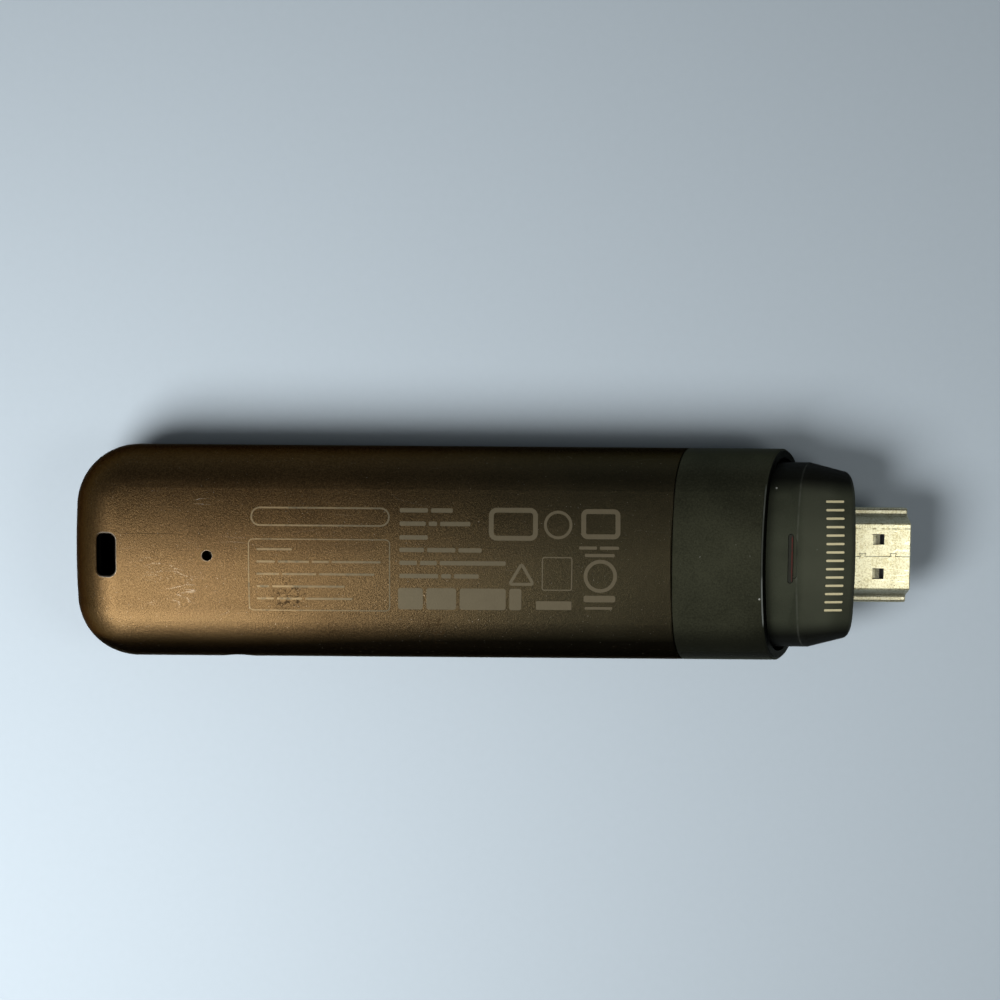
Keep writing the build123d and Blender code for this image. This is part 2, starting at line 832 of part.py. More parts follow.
# Processor and its die, memory chips, and the shield frame and lid over them
with BuildPart() as soc_chip:
    with BuildSketch(Plane.XY.offset(board_top)):
        with Locations((soc_x, 0)):
            Rectangle(soc_size, soc_size)
    extrude(amount=soc_height - die_height)
    with BuildSketch(Plane.XY.offset(board_top + soc_height - die_height)):
        with Locations((soc_x, 0)):
            Rectangle(die_size, die_size)
    extrude(amount=die_height)
soc_chip.part.label = "soc_chip"
memory_width = shield_width / 2 - shield_sheet - memory_inner_gap - memory_outer_gap
memory_places = mirrored(
    shield_x + memory_shift_share * shield_length, memory_inner_gap + memory_width / 2
)
memory_chips = chips((memory_length, memory_width, memory_height), memory_places, board_top)
memory_chips.part.label = "memory_chips"
with BuildPart() as shield_frame:
    with BuildSketch(Plane.XY.offset(board_top)):
        with Locations((shield_x, 0)):
            RectangleRounded(shield_length, shield_width, shield_corner)
            RectangleRounded(
                shield_length - 2 * shield_sheet,
                shield_width - 2 * shield_sheet,
                shield_corner - shield_sheet,
                mode=Mode.SUBTRACT,
            )
    extrude(amount=shield_height)
shield_frame.part.label = "shield_frame"
shield_top = board_top + shield_height
with BuildPart() as shield_lid:
    with BuildSketch(Plane.XY.offset(shield_top)):
        with Locations((shield_x, 0)):
            RectangleRounded(shield_length, shield_width, shield_corner)
        with Locations(
            *grid(
                (shield_x + lid_hole_shift_share * shield_length, 0),
                lid_hole_pitch,
                lid_hole_pitch,
                lid_hole_columns,
                lid_hole_rows,
            )
        ):
            Circle(lid_hole_diameter / 2, mode=Mode.SUBTRACT)
    extrude(amount=shield_lid_sheet)
shield_lid.part.label = "shield_lid"

# Two thermal pads, from the die to the lid and from the lid to the spreader
pad_height = shield_height - soc_height
pad_places = [(soc_x, 0)]
soc_pad = chips((pad_size, pad_size, pad_height), pad_places, board_top + soc_height)
soc_pad.part.label = "soc_pad"
lid_top = shield_top + shield_lid_sheet
lid_pad = chips((pad_size, pad_size, lid_pad_thickness), pad_places, lid_top)
lid_pad.part.label = "lid_pad"

# Heat spreader: a crowned plate under the shell's crown, with a foot on the lid's pad
spreader_inset = shell_wall + spreader_play
spreader_outer = oval_block(spreader_inset, far_x)
spreader_inner = oval_block(spreader_inset + spreader_thickness, far_x)
foot_base = lid_top + lid_pad_thickness
with BuildPart() as spreader_foot:
    with BuildSketch(Plane.XY.offset(foot_base)):
        with Locations((soc_x, 0)):
            Rectangle(spreader_foot_size, spreader_foot_size)
    extrude(amount=body_height)
    add(spreader_outer, mode=Mode.INTERSECT)
spreader_groove_pitch = spreader_length / (spreader_groove_count + 1)
with BuildPart() as heat_spreader:
    with BuildSketch(Plane.XY.offset(lid_top + spreader_low_gap)):
        with Locations((shield_x, 0)):
            Rectangle(spreader_length, spreader_width)
    extrude(amount=body_height)
    add(spreader_outer, mode=Mode.INTERSECT)
    add(spreader_inner, mode=Mode.SUBTRACT)
    with BuildSketch(Plane.XY.offset(body_height - spreader_inset - spreader_groove_depth)):
        with Locations((shield_x, 0)):
            with GridLocations(spreader_groove_pitch, spreader_groove_pitch, spreader_groove_count, 1):
                Rectangle(spreader_groove_width, spreader_width / 2)
    extrude(amount=body_height, mode=Mode.SUBTRACT)
    add(spreader_foot.part)
heat_spreader.part.label = "heat_spreader"

# Components on the underside of the board
storage_chip = chips(
    (storage_length, storage_width, storage_height),
    [(shield_x + storage_shift_share * shield_length, 0)],
    board_bottom,
    -1,
)
storage_chip.part.label = "storage_chip"
power_chip = chips(
    (power_chip_size, power_chip_size, power_chip_height),
    [(shield_x + power_chip_shift_share * shield_length, power_chip_side)],
    board_bottom,
    -1,
)
power_chip.part.label = "power_chip"
flash_x = shield_x + flash_shift_share * shield_length
with BuildPart() as flash_chip:
    with BuildSketch(Plane.XY.offset(board_bottom)):
        with Locations((flash_x, flash_side)):
            Rectangle(flash_length, flash_width)
    extrude(amount=-flash_height)
    with BuildSketch(Plane.XY.offset(board_bottom)):
        with Locations((flash_x, flash_side)):
            with GridLocations(flash_lead_pitch, flash_lead_pitch, flash_lead_count, 1):
                Rectangle(flash_lead_width, flash_width + 2 * flash_lead_reach)
    extrude(amount=-flash_lead_thickness)
flash_chip.part.label = "flash_chip"
tantalum_side = board_half - tantalum_board_gap - tantalum_width / 2
tantalum_capacitors = chips(
    (tantalum_length, tantalum_width, tantalum_height),
    grid((closed_end_x + tantalum_setback, tantalum_side), tantalum_pitch, 0, 2, 1),
    board_bottom,
    -1,
)
tantalum_capacitors.part.label = "tantalum_capacitors"
chip_capacitors = chips(
    (chip_cap_length, chip_cap_width, chip_cap_height),
    grid(
        (seam_crown_x - chip_cap_back, 0),
        chip_cap_pitch_x,
        chip_cap_pitch_y,
        chip_cap_columns,
        chip_cap_rows,
    ),
    board_bottom,
    -1,
)
chip_capacitors.part.label = "chip_capacitors"
status_led = chips((led_length, led_width, led_height), [(led_x, 0)], board_bottom, -1)
status_led.part.label = "status_led"
with BuildPart() as light_pipe:
    with BuildSketch(Plane.XY.offset(pipe_recess)):
        with Locations((led_x, 0)):
            Circle(pipe_tip_diameter / 2)
    extrude(amount=tray_floor - pipe_recess)
    with BuildSketch(Plane.XY.offset(tray_floor)):
        with Locations((led_x, 0)):
            Circle(pipe_flange_diameter / 2)
    extrude(amount=pipe_flange_height)
    with BuildSketch(Plane.XY.offset(tray_floor)):
        with Locations((led_x, 0)):
            Circle(pipe_stem_diameter / 2)
    extrude(amount=board_bottom - led_height - pipe_gap - tray_floor)
light_pipe.part.label = "light_pipe"

# Components on the top of the board
inductor_side = board_half - inductor_board_gap - inductor_size / 2
power_inductors = chips(
    (inductor_size, inductor_size, inductor_height),
    grid((closed_end_x + inductor_setback, inductor_side), inductor_pitch, 0, 2, 1),
    board_top,
    1,
    inductor_corner,
)
power_inductors.part.label = "power_inductors"
crystals = chips(
    (crystal_length, crystal_width, crystal_height),
    grid((closed_end_x + crystal_setback, crystal_side), 0, crystal_pitch, 1, 2),
    board_top,
)
crystals.part.label = "crystals"
driver_chip = chips(
    (driver_chip_size, driver_chip_size, driver_chip_height),
    [(head_face_x - driver_chip_back, 0)],
    board_top,
)
driver_chip.part.label = "driver_chip"

# Radio module with its can and sockets
radio_top = board_top + radio_board_height
radio_module = chips((radio_length, radio_width, radio_board_height), [(radio_x, 0)], board_top)
radio_module.part.label = "radio_module"
can_width = radio_width - 2 * radio_can_margin
can_x = radio_x - radio_length / 2 + radio_can_margin + radio_can_length / 2
radio_can = chips((radio_can_length, can_width, radio_can_height), [(can_x, 0)], radio_top)
radio_can.part.label = "radio_can"
socket_x = radio_x + radio_length / 2 - coax_socket_front
socket_y = coax_socket_spread / 2
with BuildPart() as coax_sockets:
    with BuildSketch(Plane.XY.offset(radio_top)):
        with Locations(*mirrored(socket_x, socket_y)):
            Circle(coax_socket_diameter / 2)
    extrude(amount=coax_socket_height)
coax_sockets.part.label = "coax_sockets"

# Two sheet-metal antennas on the board under the collar, each with its coaxial lead
antenna_x = seam_crown_x + antenna_ahead
antenna_inner_y = half_width - antenna_side_gap - antenna_width / 2
feed_x = antenna_x + (antenna_feed_share - 1 / 2) * antenna_length
lead_z = radio_top + coax_socket_height / 2
lead_start_x = socket_x + coax_socket_diameter / 2


def antenna(side):
    """An inverted-F antenna on one side: a plate on a ground leg and a feed leg."""
    middle_y = side * (half_width - antenna_side_gap)
    inner_y = side * (antenna_inner_y + antenna_sheet / 2)
    with BuildPart() as part:
        with BuildSketch(Plane.XY.offset(board_top + antenna_height - antenna_sheet)):
            with Locations((antenna_x, middle_y)):
                Rectangle(antenna_length, antenna_width)
        extrude(amount=antenna_sheet)
        with BuildSketch(Plane.XY.offset(board_top)):
            with Locations((feed_x, inner_y)):
                Rectangle(antenna_leg_width, antenna_sheet)
            with Locations((antenna_x + (antenna_length - antenna_sheet) / 2, middle_y)):
                Rectangle(antenna_sheet, antenna_width)
        extrude(amount=antenna_height - antenna_sheet)
    return part


def coax_lead(side):
    """A lead from a socket on the radio module to the feed leg of the antenna on one side."""
    first_run = feed_x - lead_start_x
    second_run = antenna_inner_y - socket_y
    bend = coax_bend_share * min(first_run, second_run)
    with BuildPart() as part:
        with BuildLine() as route:
            FilletPolyline(
                (lead_start_x, side * socket_y, lead_z),
                (feed_x, side * socket_y, lead_z),
                (feed_x, side * antenna_inner_y, lead_z),
                radius=bend,
            )
        with BuildSketch(Plane(origin=route.line @ 0, z_dir=route.line % 0)):
            Circle(coax_diameter / 2)
        sweep()
    return part


antennas = []
leads = []
for side, side_name in ((1, "left"), (-1, "right")):
    antenna_part = antenna(side)
    antenna_part.part.label = f"antenna_{side_name}"
    antennas.append(antenna_part)
    lead_part = coax_lead(side)
    lead_part.part.label = f"coax_lead_{side_name}"
    leads.append(lead_part)

# Recovery switch: a case, a sprung dome and a plunger that a pin through the pinhole pushes
case_roof = board_top + switch_height - switch_cover
plunger_top = board_top + switch_height + plunger_rise
flange_top = case_roof - plunger_top_gap
flange_bottom = flange_top - plunger_flange_height
case_floor = board_top + switch_floor
dome_height = flange_bottom - plunger_travel - dome_gap - case_floor
with BuildPart() as recovery_switch_case:
    with BuildSketch(Plane.XY.offset(board_top)):
        with Locations((pinhole_x, 0)):
            Rectangle(switch_size, switch_size)
    extrude(amount=switch_height)
    with BuildSketch(Plane.XY.offset(case_floor)):
        with Locations((pinhole_x, 0)):
            Circle(switch_bore_diameter / 2)
    extrude(amount=case_roof - case_floor, mode=Mode.SUBTRACT)
    with BuildSketch(Plane.XY.offset(case_floor)):
        with Locations((pinhole_x, 0)):
            Circle(plunger_diameter / 2 + plunger_play)
    extrude(amount=switch_height, mode=Mode.SUBTRACT)
recovery_switch_case.part.label = "recovery_switch_case"
with BuildPart() as recovery_plunger:
    with BuildSketch(Plane.XY.offset(flange_bottom)):
        with Locations((pinhole_x, 0)):
            Circle(plunger_flange_diameter / 2)
    extrude(amount=plunger_flange_height)
    with BuildSketch(Plane.XY.offset(flange_bottom)):
        with Locations((pinhole_x, 0)):
            Circle(plunger_diameter / 2)
    extrude(amount=plunger_top - flange_bottom)
    chamfer(recovery_plunger.edges().group_by(Axis.Z)[-1], plunger_play)
recovery_plunger.part.label = "recovery_plunger"
dome_radius = (dome_diameter**2 / 4 + dome_height**2) / (2 * dome_height)
dome_centre_z = case_floor + dome_height - dome_radius
with BuildPart() as recovery_dome:
    with BuildSketch(Plane.XZ) as dome_half:
        with Locations((pinhole_x, dome_centre_z)):
            Circle(dome_radius)
            Circle(dome_radius - dome_thickness, mode=Mode.SUBTRACT)
        with Locations((pinhole_x, case_floor)):
            Rectangle(
                dome_diameter, dome_height, align=(Align.MIN, Align.MIN), mode=Mode.INTERSECT
            )
    revolve(axis=Axis((pinhole_x, 0, 0), (0, 0, 1)))
recovery_dome.part.label = "recovery_dome"

# Power jack: a block in the board's notch, with a nose in the shell's side, a pin and a leaf
nose_front_y = half_width - jack_nose_recess
bore_floor_y = jack_back_y + jack_floor_wall
jack_spring_length = nose_front_y - bore_floor_y - jack_spring_front_gap
jack_bore_radius = jack_bore_diameter / 2
with BuildPart() as dc_jack_body:
    with BuildSketch(side_plane(jack_back_y)):
        with Locations((jack_x, mid_height)):
            RectangleRounded(jack_block_length, jack_block_height, jack_ear_height)
    extrude(amount=jack_front_y - jack_back_y)
    with BuildSketch(Plane.XY.offset(board_top)):
        with Locations((jack_x, jack_ear_depth - jack_front_y)):
            Rectangle(jack_block_length + 2 * jack_ear_length, jack_ear_depth)
    extrude(amount=jack_ear_height)
    with BuildSketch(side_plane(jack_front_y)):
        with Locations((jack_x, mid_height)):
            Circle(jack_nose_diameter / 2)
    extrude(amount=nose_front_y - jack_front_y)
    with BuildSketch(side_plane(bore_floor_y)):
        with Locations((jack_x, mid_height)):
            Circle(jack_bore_radius)
    extrude(amount=body_width, mode=Mode.SUBTRACT)
    with BuildSketch(side_plane(jack_back_y - overrun)):
        with Locations((jack_x, mid_height)):
            Circle(jack_pin_root_diameter / 2)
    extrude(amount=2 * overrun, mode=Mode.SUBTRACT)
    with BuildSketch(side_plane(bore_floor_y)):
        with Locations((jack_x, mid_height - jack_bore_radius)):
            Rectangle(jack_spring_width, 2 * jack_spring_thickness)
    extrude(amount=jack_spring_length, mode=Mode.SUBTRACT)
dc_jack_body.part.label = "dc_jack_body"
with BuildPart() as dc_jack_pin:
    with BuildSketch(side_plane(jack_back_y - jack_pin_tail)):
        with Locations((jack_x, mid_height)):
            Circle(jack_pin_diameter / 2)
    extrude(amount=nose_front_y - jack_pin_recess - jack_back_y + jack_pin_tail)
    fillet(dc_jack_pin.edges().group_by(Axis.Y)[0], jack_pin_diameter / 4)
    with BuildSketch(side_plane(jack_back_y - jack_pin_tail)):
        with Locations((jack_x, mid_height)):
            Circle(jack_pin_root_diameter / 2)
    extrude(amount=bore_floor_y - jack_back_y + jack_pin_tail)
dc_jack_pin.part.label = "dc_jack_pin"
with BuildPart() as dc_jack_leaf:
    with BuildSketch(side_plane(bore_floor_y)):
        with Locations((jack_x, mid_height - jack_bore_radius)):
            Rectangle(
                jack_spring_width, jack_spring_thickness, align=(Align.CENTER, Align.MAX)
            )
    extrude(amount=jack_spring_length)
dc_jack_leaf.part.label = "dc_jack_leaf"

# Socket in the closed end: shell with ears on the board, tongue with its base, contacts
tongue_top = mid_height
tongue_low = mid_height - usb_tongue_thickness
usb_contact_level = tongue_top
usb_base_front_x = usb_back_x - usb_base_depth
with BuildPart() as usb_socket_shell:
    with BuildSketch(Plane.YZ.offset(usb_front_x)):
        with Locations((0, mid_height)):
            RectangleRounded(usb_outer_width, usb_outer_height, usb_corner)
            RectangleRounded(
                usb_inner_width, usb_inner_height, usb_corner - usb_wall, mode=Mode.SUBTRACT
            )
    extrude(amount=usb_depth)
    with BuildSketch(Plane.XY.offset(board_top)):
        ear_x = usb_back_x - usb_ear_back
        ear_y = usb_outer_width / 2 - usb_wall + (usb_ear_reach + usb_wall) / 2
        with Locations(*mirrored(ear_x, ear_y)):
            Rectangle(usb_ear_length, usb_ear_reach + usb_wall)
    extrude(amount=usb_wall)
usb_socket_shell.part.label = "usb_socket_shell"
usb_tongue_front_x = usb_front_x + usb_tongue_recess
usb_contact_places = [share * usb_tongue_width for share in usb_contact_shares]
with BuildPart() as usb_contacts:
    for contact_y in usb_contact_places:
        with BuildSketch(side_plane(-contact_y)):
            with BuildLine():
                Polyline(
                    (usb_tongue_front_x + usb_contact_front, usb_contact_level),
                    (usb_tongue_front_x + usb_contact_front, usb_contact_level + usb_contact_thickness),
                    (usb_back_x, usb_contact_level + usb_contact_thickness),
                    (usb_back_x, board_top + usb_contact_thickness),
                    (usb_back_x + usb_contact_tail, board_top + usb_contact_thickness),
                    (usb_back_x + usb_contact_tail, board_top),
                    (usb_back_x + usb_contact_thickness / 2, board_top),
                    (usb_back_x + usb_contact_thickness / 2, usb_contact_level),
                    close=True,
                )
            make_face()
        extrude(amount=usb_contact_width / 2, both=True)
usb_contacts.part.label = "usb_contacts"
with BuildPart() as usb_tongue:
    with BuildSketch(Plane.YZ.offset(usb_base_front_x)):
        with Locations((0, mid_height)):
            RectangleRounded(
                usb_inner_width - 2 * usb_base_play,
                usb_inner_height - 2 * usb_base_play,
                usb_corner - usb_wall,
            )
    extrude(amount=usb_base_depth)
    with BuildSketch(Plane.YZ.offset(usb_tongue_front_x)):
        with Locations((0, (tongue_low + tongue_top) / 2)):
            Rectangle(usb_tongue_width, usb_tongue_thickness)
    extrude(amount=usb_base_front_x - usb_tongue_front_x)
    tongue_nose = usb_tongue.faces().sort_by(Axis.X)[0].edges()
    chamfer(tongue_nose, usb_tongue_edge)
    add(usb_contacts.part, mode=Mode.SUBTRACT)
usb_tongue.part.label = "usb_tongue"

# Steel plate behind the security slot, curved to the shell's inside
lock_outer = oval_block(shell_wall + lock_plate_gap, far_x)
lock_inner = oval_block(shell_wall + lock_plate_gap + lock_plate_thickness, far_x)
with BuildPart() as lock_plate:
    with BuildSketch(Plane.XY.offset(body_height - lock_plate_drop)):
        with Locations((slot_x + lock_plate_offset, 0)):
            Rectangle(lock_plate_length, lock_plate_width)
        with Locations((slot_x, 0)):
            RectangleRounded(slot_width, slot_length, slot_corner, mode=Mode.SUBTRACT)
    extrude(amount=body_height)
    add(lock_outer, mode=Mode.INTERSECT)
    add(lock_inner, mode=Mode.SUBTRACT)
lock_plate.part.label = "lock_plate"

pieces = [
    body_shell,
    antenna_collar,
    connector_head,
    cap_catch,
    hdmi_plug_shell,
    hdmi_insulator,
    hdmi_contacts,
    plug_gasket,
    main_board,
    chassis_tray,
    insulating_film,
    board_screws,
    soc_chip,
    memory_chips,
    shield_frame,
    shield_lid,
    soc_pad,
    lid_pad,
    heat_spreader,
    storage_chip,
    power_chip,
    flash_chip,
    tantalum_capacitors,
    chip_capacitors,
    status_led,
    light_pipe,
    power_inductors,
    crystals,
    driver_chip,
    radio_module,
    radio_can,
    coax_sockets,
    *antennas,
    *leads,
    recovery_switch_case,
    recovery_plunger,
    recovery_dome,
    dc_jack_body,
    dc_jack_pin,
    dc_jack_leaf,
    usb_socket_shell,
    usb_contacts,
    usb_tongue,
    lock_plate,
]
os.makedirs("parts", exist_ok=True)
for piece in pieces:
    export_step(piece.part, f"parts/{piece.part.label}.step")
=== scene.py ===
import math

import bpy
from bpy.props import (
    FloatProperty,
    FloatVectorProperty,
    IntProperty,
    PointerProperty,
)
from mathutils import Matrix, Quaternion, Vector


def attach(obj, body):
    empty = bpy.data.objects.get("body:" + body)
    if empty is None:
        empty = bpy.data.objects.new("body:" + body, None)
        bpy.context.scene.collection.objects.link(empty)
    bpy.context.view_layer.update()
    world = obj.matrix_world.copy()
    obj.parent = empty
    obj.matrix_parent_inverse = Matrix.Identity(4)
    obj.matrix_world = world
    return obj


bl_info = {
    "name": "HDMI stick computer",
    "version": (1, 0, 0),
    "blender": (4, 5, 0),
    "location": "View3D > Sidebar > Stick",
    "description": "Finishes, print and studio for a bronze HDMI stick computer",
    "category": "Object",
}

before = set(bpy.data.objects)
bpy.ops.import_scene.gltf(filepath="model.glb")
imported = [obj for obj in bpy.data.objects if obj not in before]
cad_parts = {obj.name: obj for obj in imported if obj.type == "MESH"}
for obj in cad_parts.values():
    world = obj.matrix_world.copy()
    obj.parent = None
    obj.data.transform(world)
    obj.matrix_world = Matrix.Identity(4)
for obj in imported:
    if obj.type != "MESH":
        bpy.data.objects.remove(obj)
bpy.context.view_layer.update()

MM = 0.001
BODY = "stick"

# The stick's own places in millimetres, as its solids have them: X from the closed end to the
# plug, Y across, Z up out of the label side
TOP = 17.0
MID = 8.5
HEAD_TOP = 15.05
SLOT = (-54.65, 0.0)
SLOT_HALF = (1.4, 3.0)
SLOT_CORNER = 1.0
SLOT_SHADE_RADIUS = 5.5
PINHOLE = (-40.3, 0.0)
PINHOLE_RADIUS = 0.65
TABS_Y = 4.05
TAB_FLOOR_Z = 10.52
BOARD_HALF = 0.42
WINDOW_X = 42.46
WINDOW_HALF = 3.0
HEAD_FACE = 51.9
# Slanted edges: where they would cross z = 0, and how far back they go for each millimetre up
MOUTH_SLOPE = 0.53
MOUTH = 37.9 + MOUTH_SLOPE * TOP
BREAK_SLOPE = 0.473
BREAK = 43.1 + BREAK_SLOPE * HEAD_TOP

# Marks: their places in the plan. A spot has a radius and a strength too, a nick a radius and
# how soft it is
SCRATCH_SPOTS = (((-46.5, -3.6), 6.5, 1.0), ((-44.0, -7.0), 4.0, 0.35))
DIRT_SPOTS = (((-41.5, 4.2), 3.2, 1.3), ((-28.6, -5.6), 3.6, 1.8), ((-8.5, -10.3), 3.6, 1.4))
UPPER_NICK = ((-41.0, 7.6), 1.5, 0.6)
LOWER_NICK = ((-42.7, -4.6), 1.1, 0.7)
LINE_BY_SLOT = (-48.5, 3.05)
RUBBED_PRINT = (-30.5, -6.5)
COLLAR_CHIP = (37.6, -5.6)
HEAD_LINT = (40.3, 10.0)

# Colours for what no lamp reaches, and the most that they cover
SHELL_SHADE = (0.008, 0.007, 0.005)
COLLAR_SHADE = (0.006, 0.006, 0.004)
HEAD_SHADE = (0.005, 0.005, 0.004)
PITCH_DARK = (0.002, 0.002, 0.002)
MOST_SHADE = 0.92
UPPER_HALF = (9.5, 13.5)

# Colours of small marks, and of painted glints, highlights and shade in small places
SHELL_GLINT = (0.5, 0.45, 0.36)
MOUTH_FACE_SHADE = (0.004, 0.004, 0.003)
MOUTH_EDGE_HIGHLIGHT = (0.52, 0.54, 0.48)
COLLAR_SPECK = (0.42, 0.42, 0.38)
HEAD_TAPER_LIGHT = (0.10, 0.105, 0.075)
HEAD_HIGHLIGHT_AND_RUB = (0.30, 0.31, 0.27)
HEAD_SPECK = (0.55, 0.55, 0.50)
PLUG_PIT = (0.20, 0.17, 0.09)
PLUG_FLANK_SHADE = (0.07, 0.07, 0.06)
PLUG_TIP = (0.93, 0.91, 0.74)
WIPED_GOLD = (0.98, 0.80, 0.46)
VIA = (0.55, 0.50, 0.34)
BOARD_EDGE = (0.34, 0.30, 0.16)
TANTALUM_STRIPE = (0.20, 0.09, 0.02)

# The print: how high it is drawn over the stick, how wide the slices are that let it bend, how
# far it goes into the surface in thicknesses
HOVER = 30 * MM
SLICE = 0.4 * MM
DEPTH = 3
# Rows of bars, in millimetres: across, start, end and the gaps between the bars
BAR_GAP = 0.42
BAR_SHIFT = 0.12
LABEL_BAR = 0.30
LABEL_ROWS = (
    (1.0, -33.4, -28.0, ()),
    (-0.75, -33.4, -15.5, (-30.4, -25.6, -22.8)),
    (-2.51, -33.4, -16.4, (-29.8, -24.6)),
    (-4.27, -33.4, -20.6, (-31.2,)),
    (-6.03, -33.4, -19.5, (-30.6, -26.6)),
)
# Rows of text bars by their height
TEXT_ROWS = {
    0.62: (
        (6.6, -13.3, -5.4, (-8.9,)),
        (4.73, -13.3, -2.9, (-9.2, -7.6)),
        (2.8, -13.3, -8.9, ()),
        (1.04, -13.3, -1.3, (-9.4, -5.0)),
        (-0.79, -13.3, 2.1, (-10.4, -7.6)),
        (-2.65, -13.3, -1.7, (-7.4, -5.6)),
    ),
    0.45: ((1.5, 12.0, 18.0, (14.9,)), (0.45, 12.8, 17.4, ())),
    0.95: ((-5.75, 12.7, 17.6, ()),),
    0.38: ((-7.1, 12.9, 17.2, ()),),
}
# Solid blocks: x, y, width, height and corner
BLOCKS = (
    (-11.65, -5.92, 3.5, 3.1, 0.35),
    (-7.3, -5.92, 4.2, 3.1, 0.35),
    (-1.45, -5.92, 6.5, 3.1, 0.35),
    (3.15, -5.92, 1.7, 3.1, 0.35),
    (8.6, -6.75, 5.0, 1.25, 0.12),
)
# Outlines: x, y, width, height and corner
LABEL_FRAME = (-24.5, -2.65, 20.0, 10.3, 0.7)
NAME_FRAME = (-24.4, 5.6, 19.6, 2.7, 1.3)
BOLD_FRAMES = ((2.8, 4.75, 6.9, 4.6, 1.1), (15.1, 4.85, 5.5, 4.2, 0.9))
FINE_FRAME = (9.0, -2.2, 4.3, 4.8, 0.35)
# Rings: x, y, diameter and stroke
UPPER_RING = (9.1, 4.7, 4.0, 0.40)
LOWER_RING = (15.1, -2.5, 4.7, 0.52)
TRIANGLE = (4.0, -2.75, 4.7, 0.42)
TRIANGLE_CORNER = 0.78
# The ticks on the head: their x, and where along Y their row starts and how long it is
TICK_X = 48.75
TICK_SIZE = (2.65, 0.32, 0.15)
TICK_ROW = (-8.1, 16.8)

# The studio, in millimetres
FLOOR_SIZE = 6000.0
FLOOR_FADE = (140.0, 480.0)
SKY_STOPS = (0.02, 0.44)
WARM = (1.0, 0.99, 0.96)
KEY_LAMP = {"place": (-150, -92, 218), "target": (-10, 0, 8), "size": 160}
FILL_LAMP = {"place": (158, -22, 225), "target": (50, 0, 10), "size": 110, "tint": WARM}
CAMERA_PLACE = (0.89, 19.66)
CAMERA_AIM_Y = 7.66
SENSOR_WIDTH = 36
NEAR_CLIP = 5.0
FAR_CLIP = 20000.0


def colour(name, text, default):
    """A colour that the sidebar shows."""
    return FloatVectorProperty(
        name=name, description=text, default=default, size=3, min=0, max=1, subtype="COLOR"
    )


def share(name, text, default):
    """A value from nought to one."""
    return FloatProperty(
        name=name, description=text, default=default, min=0, max=1, subtype="FACTOR"
    )


def length(name, text, default):
    """A length in metres, given here in millimetres."""
    return FloatProperty(
        name=name, description=text, default=default * MM, min=0, unit="LENGTH", precision=5
    )


def power(name, text, default):
    """A lamp's strength in watts."""
    return FloatProperty(name=name, description=text, default=default, min=0, unit="POWER")


class ShellLooks(bpy.types.PropertyGroup):
    """The bronze shell and the collar."""

    bronze: colour("Bronze", "Bronze where it is lightest", (0.100, 0.062, 0.027))
    deep_bronze: colour("Deep bronze", "Bronze where it is darkest", (0.060, 0.036, 0.015))
    lit_bronze: colour("Lit bronze", "Bronze along the lit lower edge", (0.140, 0.088, 0.039))
    bare_metal: colour("Bare metal", "Aluminium where an edge is cut or worn", (0.62, 0.55, 0.44))
    grime: colour("Grime", "Dirt left on the shell", (0.036, 0.022, 0.010))
    collar: colour("Collar", "Painted collar over the antennas", (0.036, 0.037, 0.023))
    shell_roughness: share("Shell roughness", "How satin the shell is", 0.41)
    collar_roughness: share("Collar roughness", "How satin the collar is", 0.44)
    grain_size: length("Grain size", "Size of the blasted grain", 0.22)
    wear: share("Wear", "How much the scratches show", 0.5)


class PrintLooks(bpy.types.PropertyGroup):
    """The plain print on the shell and on the head."""

    ink: colour("Ink", "Pale print on the shell", (0.116, 0.098, 0.063))
    worn_ink: colour("Worn ink", "Print where the bronze shows through", (0.270, 0.190, 0.096))
    gold: colour("Gold", "Ticks on the head", (0.64, 0.57, 0.34))
    thickness: length("Thickness", "How far the print stands on the surface", 0.012)
    fine_line: length("Fine line", "Width of the label's frame", 0.16)
    bold_line: length("Bold line", "Width of the bold outlines", 0.68)
    tick_count: IntProperty(
        name="Ticks", description="How many ticks the head has", default=14, min=1
    )


class HeadLooks(bpy.types.PropertyGroup):
    """The connector head and the catch behind its window."""

    plastic: colour("Plastic", "Dark moulded plastic", (0.042, 0.046, 0.031))
    catch: colour("Catch", "The catch where it shows in the window", (0.075, 0.012, 0.008))
    roughness: share("Roughness", "How matt the plastic is", 0.56)


class PlugLooks(bpy.types.PropertyGroup):
    """The plated plug and the sockets."""

    plating: colour("Plating", "Pale plating of the plug", (0.82, 0.79, 0.555))
    dull_plating: colour("Dull plating", "Plating where it is stained", (0.50, 0.45, 0.26))
    steel: colour("Steel", "Sheet of the socket", (0.62, 0.62, 0.60))
    gold: colour("Contact gold", "Plating of the contacts", (0.92, 0.66, 0.28))
    insulator: colour("Insulator", "Plastic of the sockets", (0.022, 0.023, 0.024))
    roughness: share("Roughness", "How satin the plating is", 0.37)


class InsideLooks(bpy.types.PropertyGroup):
    """What the shell encloses."""

    mask: colour("Solder mask", "Varnish on the boards", (0.010, 0.050, 0.026))
    copper: colour("Copper", "Tracks under the varnish", (0.022, 0.110, 0.046))
    chip: colour("Chip", "Moulded chips", (0.018, 0.018, 0.020))
    tin: colour("Tin", "Tinned shields", (0.60, 0.61, 0.61))
    aluminium: colour("Aluminium", "The heat spreader", (0.72, 0.73, 0.74))
    pad: colour("Thermal pad", "Soft heat pads", (0.33, 0.42, 0.52))


